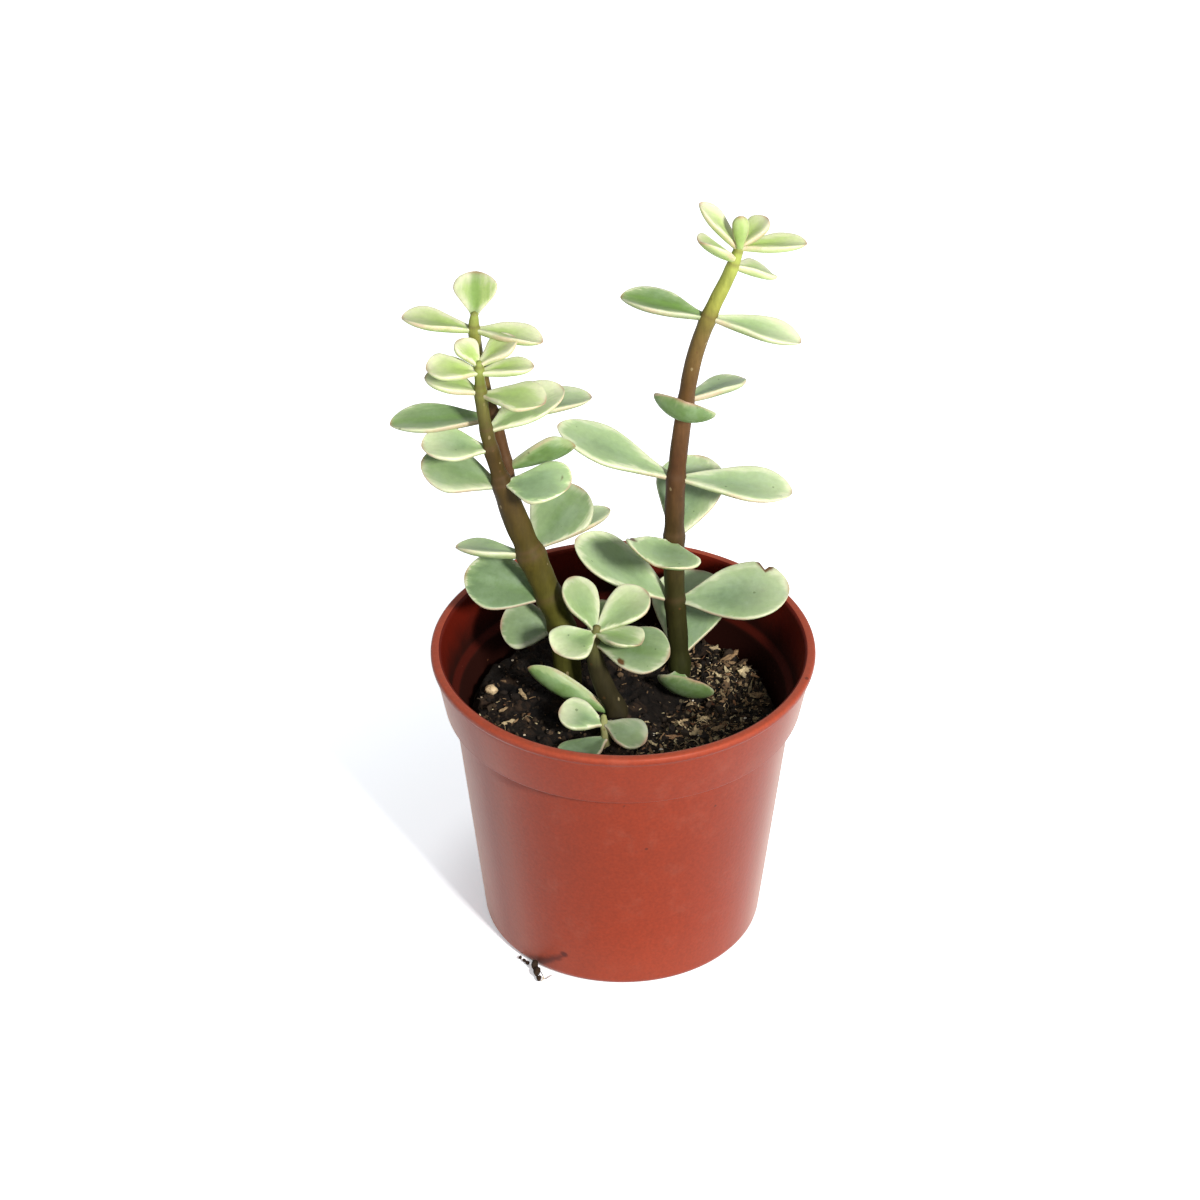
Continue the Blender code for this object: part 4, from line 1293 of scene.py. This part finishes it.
def add_lumps(skin, dice, middles, sizes, values, divisions, name):
    """Rough lumps: a ball whose points are pushed in and out by three crossed waves of random phase."""
    ball, triangles = lump_mesh(divisions)
    for middle, size, value in zip(middles, sizes, values):
        turn = dice.uniform(0, 2 * np.pi, 6)
        push = 1.0
        for k, (depth, sine_axis, sine_rate, cosine_axis, cosine_rate) in enumerate(LUMP_WAVES):
            wave = np.sin(sine_rate * ball[:, sine_axis] + turn[2 * k])
            push = push + depth * wave * np.cos(cosine_rate * ball[:, cosine_axis] + turn[2 * k + 1])
        skin.add(middle + ball * push[:, None] * size, [], triangles, **{name: value})


def add_crumbs(skin, dice, places, sizes, tones):
    """Broken crumbs: balls of few faces, each squashed its own way, with every point moved at random."""
    ball, triangles = lump_mesh(1)
    total = len(places)
    shape = ball * dice.uniform(0.6, 1.3, (total, 1, 3)) + dice.normal(0, 0.16, (total, len(ball), 3))
    points = on_soil(places, sizes * BIT_LIFT)[:, None] + shape * sizes[:, None, None]
    skin.add_bits(points, [], triangles, (tones[:, None], 0.5, 0.0))


def build_litter(settings):
    """Splinters, crumbs and fibres in one piece, mineral grains in another."""
    dice = np.random.default_rng(settings.seed)
    skin = Skin("bit")
    places = scatter(dice, settings.splinters, LITTER_REACH)
    total = len(places)
    lengths = np.clip(dice.gamma(2.0, 0.38, total) + 0.24, 0.3, 3.0)
    widths = np.clip(lengths * dice.uniform(0.12, 0.38, total), 0.12, 0.60)
    sizes = np.stack([lengths, widths, widths * dice.uniform(0.25, 0.6, total)], axis=1)
    add_chips(skin, dice, places, sizes, dice.uniform(0, np.pi, total), dice.random(total) ** TONE_POWER)
    half = settings.crumbs // 2
    near = scatter(dice, half, LITTER_REACH)
    angles = dice.uniform(0, 2 * np.pi, half)
    far = level_ring(LITTER_REACH * np.sqrt(dice.random(half)), angles, 0.0)
    places = np.vstack([near, far[:, :2]])
    total = len(places)
    add_crumbs(skin, dice, places, dice.gamma(2.5, 0.07, total) + 0.08, 0.40 * dice.beta(1.0, 4.0, total))
    chips = np.array(SINGLE_CHIPS, float)
    add_chips(skin, dice, chips[:, :2], chips[:, 2:5], np.radians(chips[:, 5]), chips[:, 6])
    starts = scatter(dice, settings.fibres, LITTER_REACH - 1)
    lengths, radii, tones = [dice.uniform(low, high, len(starts)) for low, high in FIBRE_RANGES]
    add_fibres(skin, dice, starts, lengths, radii, tones)
    settle(skin.make("bark_splinters", [litter_material(settings)], flat=True))

    grains = Skin("bit")
    spots = scatter(dice, settings.grains, LITTER_REACH)
    radii = dice.uniform(0.07, 0.17, len(spots))
    single = np.array(SINGLE_GRAINS, float)
    spots = np.vstack([single[:, :2], spots])
    radii = np.concatenate([single[:, 2], radii])
    total = len(spots)
    tones = np.concatenate([[PEBBLE_TONE], dice.uniform(0.0, 0.6, total - 1)])
    squash = np.stack([np.ones(total), dice.uniform(0.7, 1.0, total), dice.uniform(0.6, 0.9, total)], axis=1)
    middles = on_soil(spots, radii * 0.5)
    add_lumps(grains, dice, middles, radii[:, None] * squash, np.stack([tones] * 3, axis=1), 2, "bit")
    settle(grains.make("mineral_grains", [grain_material()]))


def build_stuck_crumb(settings):
    """The wet crumb of mix at the pot's foot, a row of bits in the corner beside it, and two root hairs."""
    dice = np.random.default_rng(settings.seed + 1)
    crumb = Skin("crumb")
    places = np.array(FOOT_LUMPS)
    add_lumps(crumb, dice, places[:, :3], places[:, 3:], [FOOT_TONE] * len(places), 3, "crumb")
    for hair in ROOT_HAIRS:
        path = smooth_path(hair)
        centres, _, _, circles = sections(path, HAIR_SIDES)
        rings = centres[:, None] + path[:, 3][:, None, None] * circles
        crumb.add_rings(centres[0], rings, centres[-1], crumb=HAIR_TONE)
    settle(crumb.make("stuck_crumb", [bpy.data.materials["damp_peat"]]))


def smooth_path(points):
    """Catmull-Rom curve through the points, each span cut in PATH_STEPS."""
    p = np.array(points, float)
    p = np.vstack([2 * p[0] - p[1], p, 2 * p[-1] - p[-2]])
    steps = np.linspace(0, 1, PATH_STEPS, endpoint=False)[:, None]
    spans = []
    for a, b, c, d in zip(p[:-3], p[1:-2], p[2:-1], p[3:]):
        cubic = 3 * b - a - 3 * c + d
        square = 2 * a - 5 * b + 4 * c - d
        spans.append(0.5 * (2 * b + (c - a) * steps + square * steps**2 + cubic * steps**3))
    return np.vstack(spans + [p[-2][None]])


def sections(path, sides):
    """Centres, directions along the path, angles and unit circles square to it."""
    centres = path[:, :3]
    along = np.gradient(centres, axis=0)
    along /= np.linalg.norm(along, axis=1)[:, None]
    across = np.array([1.0, 0.0, 0.0]) - along * along[:, :1]
    across /= np.linalg.norm(across, axis=1)[:, None]
    angle = turns(sides)
    third = np.cross(along, across)[:, None]
    circles = across[:, None] * np.cos(angle)[:, None] + third * np.sin(angle)[:, None]
    return centres, along, angle, circles


def add_stem(skin, path, nodes, bark, young_from, young_to, seed):
    """Round sections square to the path: the radius swells at each leaf pair, narrows just above it and
    carries low ribs and a fine random wrinkle."""
    centres, along, angle, circles = sections(path, STEM_SIDES)
    radii = path[:, 3]
    z = centres[:, 2]
    swell = 1.0
    ring = 0.0
    for height in nodes:
        for share, above, spread in NODE_SHAPE:
            swell = swell + share * bell(z - height - above, spread)
        ring = np.maximum(ring, bell(z - height - NODE_RING, NODE_RING_SPREAD))
    ring = ring * smooth(RING_LOW, RING_HIGH, z)
    wrinkle = grid_noise(angle * 3, z[:, None] * 1.4, 1.0, seed) - 0.5
    ribs = 1 + 0.018 * np.sin(5 * angle + 0.35 * z[:, None]) + 0.02 * wrinkle
    rings = centres[:, None] + (radii * swell)[:, None, None] * ribs[..., None] * circles
    tip = centres[-1] + along[-1] * radii[-1] * STEM_TIP
    stops = np.array([(height, *linear(*rgb)[:3]) for height, *rgb in bark])
    tones = [np.interp(z, stops[:, 0], stops[:, k])[:, None] for k in (1, 2, 3)]
    node = (ring[:, None], smooth(young_from, young_to, z)[:, None], 0.0)
    skin.add_rings(centres[0], rings, tip, slot=BARK_SLOT, bark=tones, node=node)


def leaf_axes(azimuth, pitch, roll):
    """Unit vectors along, across and up from a leaf, turned by its three angles in degrees."""
    turn, rise, lean = np.radians([azimuth, pitch, roll])
    level = np.cos(rise)
    along = np.array([level * np.cos(turn), level * np.sin(turn), np.sin(rise)])
    side = np.array([np.sin(turn), -np.cos(turn), 0.0])
    up = np.cross(side, along)
    across = side * np.cos(lean) - up * np.sin(lean)
    return along, across, up * np.cos(lean) + side * np.sin(lean)


def add_leaf(skin, path, leaf, youth, cream_width, scar, dice):
    """One fleshy blade on a grid of u, from base to tip, and an angle round its section.

    Half width is half the leaf's width times sin(pi u^taper) to the power of the fullness, joined to
    the leaf stalk by the root of squares, with a low random wave in each margin. Half thickness is the
    root of a sine of u. A section is a flat oval, |sin| of its angle to the edge power, with a shallow
    dish above inside a round rim. It is wrapped round a circle for the cup, and the midrib is an arc
    that turns through the curl, with a faint groove above it. The pale margin is as wide as the leaf's
    own lot says, wider on the side that it leans to.
    """
    height, azimuth, pitch, long, width, roll, curl, cup = leaf[:8]
    tone_and_painted_light, green, wide, pale = leaf[8:] or PLAIN_LOOK
    scar_u, scar_s, scar_size, notch = scar
    long = long * SKIN_SHARE
    along, across, up = leaf_axes(azimuth, pitch, roll)
    *middle, thick = [np.interp(height, path[:, 2], path[:, k]) for k in range(4)]
    turn = np.radians(azimuth)
    base = np.array(middle) + np.array([np.cos(turn), np.sin(turn), 0.0]) * thick * BASE_SINK
    u = (0.5 - 0.5 * np.cos(np.pi * np.linspace(0, 1, LEAF_ROWS + 1)))[:-1, None]
    arch = np.sin(np.pi * u)
    angle = turns(LEAF_SIDES)
    s = np.cos(angle)
    rise = np.sin(angle)

    phases = dice.uniform(0, 2 * np.pi, 5)
    blade = width / 2 * np.sin(np.pi * u**LEAF_TAPER) ** LEAF_FULLNESS
    half_width = np.hypot(blade, PETIOLE_RADIUS * (1 - u))
    right, left = [0.022 * np.sin(7 * u + phases[k]) + 0.014 * np.sin(15 * u + phases[k + 1]) for k in (0, 2)]
    spread = 1 + (right * (s > 0) + left * (s < 0)) * arch
    spread = spread - notch * bell(u - scar_u, 0.032) * (s * scar_s > 0) * np.abs(s)
    half_thick = LEAF_THICKNESS / 2 * np.sqrt(np.sin(np.pi * (THICK_START + THICK_SPAN * u)) * (1 - u**12))

    fine = np.linspace(0, 1, CURL_STEPS + 1)
    bend = np.radians(curl) * fine[:-1]
    run, lift = [np.cumsum([0.0, *way(bend)]) / CURL_STEPS * long for way in (np.cos, np.sin)]
    midrib = base + along * np.interp(u, fine, run) + up * np.interp(u, fine, lift)
    local_up = up * np.cos(np.radians(curl) * u) - along * np.sin(np.radians(curl) * u)
    wrap = np.radians(cup) * s
    arc = half_width * spread / np.radians(cup)
    dish = np.where(rise > 0, 0.72 + 0.30 * s**2, 1.0)
    fullness = np.sign(rise) * np.abs(rise) ** EDGE_POWER * dish
    groove = 0.12 * bell(s, 0.20) * (rise > 0) * np.sin(np.pi * u**0.8) * (1 - 0.6 * u)
    calm = 1 - 0.85 * smooth(40, 110, curl)
    wave = calm * RUFFLE * width / 10 * arch * np.sin(8 * u + phases[4])
    ruffle = wave * np.abs(s) ** 3 * np.where(s > 0, 1.0, -0.7)
    raised = arc * (1 - np.cos(wrap)) + half_thick * fullness - groove + ruffle
    rings = midrib[:, None] + across * (arc * np.sin(wrap))[..., None] + local_up[:, None] * raised[..., None]

    side_way = half_width * (1 - np.abs(s))
    end_way = (1 - u) * long
    rim = side_way * end_way / np.sqrt(side_way**2 + end_way**2 + 1e-6)
    lot = dice.random()
    lean = np.copysign(1.0, across @ FAR_SIDE) * np.sign(dice.random() - NEAR_SHARE) * dice.uniform(0.2, 0.8)
    margin = cream_width * wide * (0.45 + lot) * (1 + lean * s)
    scarred = bell(u - scar_u, scar_size) * bell(s - scar_s, 3 * scar_size) * (rise > -0.4)
    one_side = smooth(0.1, 1.1, s * np.sign(lean)) * smooth(0.1, 0.4, u)
    washed = pale * np.maximum(smooth(0.35, 1.0, u), one_side)
    skin.add_rings(
        midrib[0],
        rings,
        base + along * run[-1] + up * lift[-1],
        slot=LEAF_SLOT,
        leaf=(rim, smooth(-0.25, 0.25, rise), youth),
        blade=(u * long, s * half_width, lot),
        mark=(margin, scarred, bell(end_way, 0.35)),
        look=(tone_and_painted_light, green, washed),
    )


def build_plants(settings):
    """One piece for each leafy stem: its axes and all its leaves."""
    materials = [bark_material(settings), leaf_material(settings)]
    for seed, (node, axes) in enumerate(PLANTS.items()):
        dice = np.random.default_rng(100 + seed)
        skin = Skin("leaf", "blade", "mark", "look", "bark", "node")
        for axis, (points, leaves, bark, young_from, young_to) in enumerate(axes):
            path = smooth_path(points)
            heights = sorted({round(leaf[0]) for leaf in leaves})
            add_stem(skin, path, heights, bark, young_from, young_to, 40 + seed)
            for which, leaf in enumerate(leaves):
                youth = float(smooth(young_from, young_to, leaf[0]))
                cream_width = settings.cream_width / MM * min(1.0, 0.35 + leaf[4] / 10.0)
                scar = LEAF_SCARS.get((node, axis, which), NO_SCAR)
                add_leaf(skin, path, leaf, youth, cream_width, scar, dice)
        settle(skin.make("leafy_" + node, materials), node)


def floor_material(settings):
    """Pale floor that shows the camera more light than it gives off, and more away from the pot."""
    paint = Paint("pale_floor")
    shader = paint.tree.nodes["Principled BSDF"]
    paint.feed(shader, {"Base Color": settings.floor, "Roughness": 0.9, "Specular IOR Level": 0.1})
    reach = paint.add("ShaderNodeVectorMath", {0: paint.place}, operation="LENGTH")["Value"]
    level = paint.plus(settings.floor_glow, paint.between(reach, 20 * MM, 34 * MM, 0.0, 0.26))
    level = paint.plus(level, paint.between(reach, 34 * MM, 100 * MM, 0.0, 0.22))
    strength = paint.times(paint.seen(), level)
    glow = paint.add("ShaderNodeEmission", {"Color": (0.96, 0.98, 1.0, 1.0), "Strength": strength})
    both = paint.add("ShaderNodeAddShader", {0: shader.outputs[0], 1: glow[0]})
    paint.feed(paint.tree.nodes["Material Output"], {"Surface": both[0]})
    return paint.material


def build_stage(settings):
    """Floor, even sky, one soft main light and the camera at the photograph's angle."""
    floor = Skin()
    corners = np.array([[-1, -1], [1, -1], [1, 1], [-1, 1]]) * FLOOR_REACH
    floor.add(np.column_stack([corners, np.full(4, FLOOR_HEIGHT)]), [[0, 1, 2, 3]], [])
    floor.make("floor", [floor_material(settings)])

    world = bpy.data.worlds.new("studio")
    bpy.context.scene.world = world
    world.use_nodes = True
    sky = Nodes(world.node_tree)
    seen = sky.seen()
    tint = sky.blend(seen, (0.93, 0.97, 1.0, 1.0), (1.0, 1.0, 1.0, 1.0))
    strength = sky.between(seen, 0.0, 1.0, settings.sky, 1.0, "LINEAR")
    sky.feed(world.node_tree.nodes["Background"], {"Color": tint, "Strength": strength})

    lamp = bpy.data.lights.new("key", "AREA")
    lamp.energy = settings.key_power
    lamp.size = settings.key_size
    lamp.color = (1.0, 0.985, 0.955)
    key = place_in_scene("key", lamp)
    bearing = np.radians(settings.key_azimuth)
    height = np.radians(settings.key_elevation)
    way = np.array([np.cos(bearing) * np.cos(height), np.sin(bearing) * np.cos(height), np.sin(height)])
    key.location = settings.key_distance * way
    key.rotation_euler = (np.pi / 2 - height, 0.0, bearing + np.pi / 2)

    lens = bpy.data.cameras.new("camera")
    lens.lens = CAMERA_LENS
    lens.sensor_width = 36.0
    lens.clip_start = 0.01
    lens.clip_end = 20.0
    camera = place_in_scene("camera", lens)
    camera.location = np.array(CAMERA_PLACE) * MM
    camera.rotation_euler = (np.radians(CAMERA_TILT), 0.0, 0.0)
    bpy.context.scene.camera = camera
    bpy.context.scene.view_settings.view_transform = "Standard"


class BUSH_OT_stage(bpy.types.Operator):
    """Lay the floor, hang the lights and set the camera"""

    bl_idname = "bush.stage"
    bl_label = "Stage"

    def execute(self, context):
        build_stage(context.scene.bush_stage)
        return {"FINISHED"}


class BUSH_OT_pot(bpy.types.Operator):
    """Turn the nursery pot and cut its drain holes"""

    bl_idname = "bush.pot"
    bl_label = "Nursery pot"

    def execute(self, context):
        build_pot(context.scene.bush_pot)
        return {"FINISHED"}


class BUSH_OT_mix(bpy.types.Operator):
    """Heap the potting mix and its crumbs"""

    bl_idname = "bush.mix"
    bl_label = "Potting mix"

    def execute(self, context):
        build_root_ball(context.scene.bush_mix)
        build_stuck_crumb(context.scene.bush_mix)
        return {"FINISHED"}


class BUSH_OT_litter(bpy.types.Operator):
    """Strew splinters, fibres and grains on the mix"""

    bl_idname = "bush.litter"
    bl_label = "Loose bits"

    def execute(self, context):
        build_litter(context.scene.bush_mix)
        return {"FINISHED"}


class BUSH_OT_plants(bpy.types.Operator):
    """Grow the four leafy stems"""

    bl_idname = "bush.plants"
    bl_label = "Leafy stems"

    def execute(self, context):
        build_plants(context.scene.bush_plant)
        return {"FINISHED"}


OPERATORS = (BUSH_OT_stage, BUSH_OT_pot, BUSH_OT_mix, BUSH_OT_litter, BUSH_OT_plants)
GROUPS = {
    "bush_pot": PotSettings,
    "bush_mix": MixSettings,
    "bush_plant": PlantSettings,
    "bush_stage": StageSettings,
}


class BUSH_PT_panel(bpy.types.Panel):
    """Lists the sizes and colours, and the steps that build the bush"""

    bl_idname = "BUSH_PT_panel"
    bl_label = "Potted elephant bush"
    bl_space_type = "VIEW_3D"
    bl_region_type = "UI"
    bl_category = "Bush"

    def draw(self, context):
        for name, group in GROUPS.items():
            box = self.layout.box()
            for key in group.__annotations__:
                box.prop(getattr(context.scene, name), key)
        for step in OPERATORS:
            self.layout.operator(step.bl_idname)


def register():
    for group in GROUPS.values():
        bpy.utils.register_class(group)
    for name, group in GROUPS.items():
        setattr(bpy.types.Scene, name, bpy.props.PointerProperty(type=group))
    for item in (*OPERATORS, BUSH_PT_panel):
        bpy.utils.register_class(item)


def unregister():
    for item in (BUSH_PT_panel, *reversed(OPERATORS)):
        bpy.utils.unregister_class(item)
    for name in GROUPS:
        delattr(bpy.types.Scene, name)
    for group in reversed(GROUPS.values()):
        bpy.utils.unregister_class(group)


def main():
    register()
    bpy.ops.bush.stage()
    bpy.ops.bush.pot()
    bpy.ops.bush.mix()
    bpy.ops.bush.litter()
    bpy.ops.bush.plants()


if __name__ == "__main__":
    main()
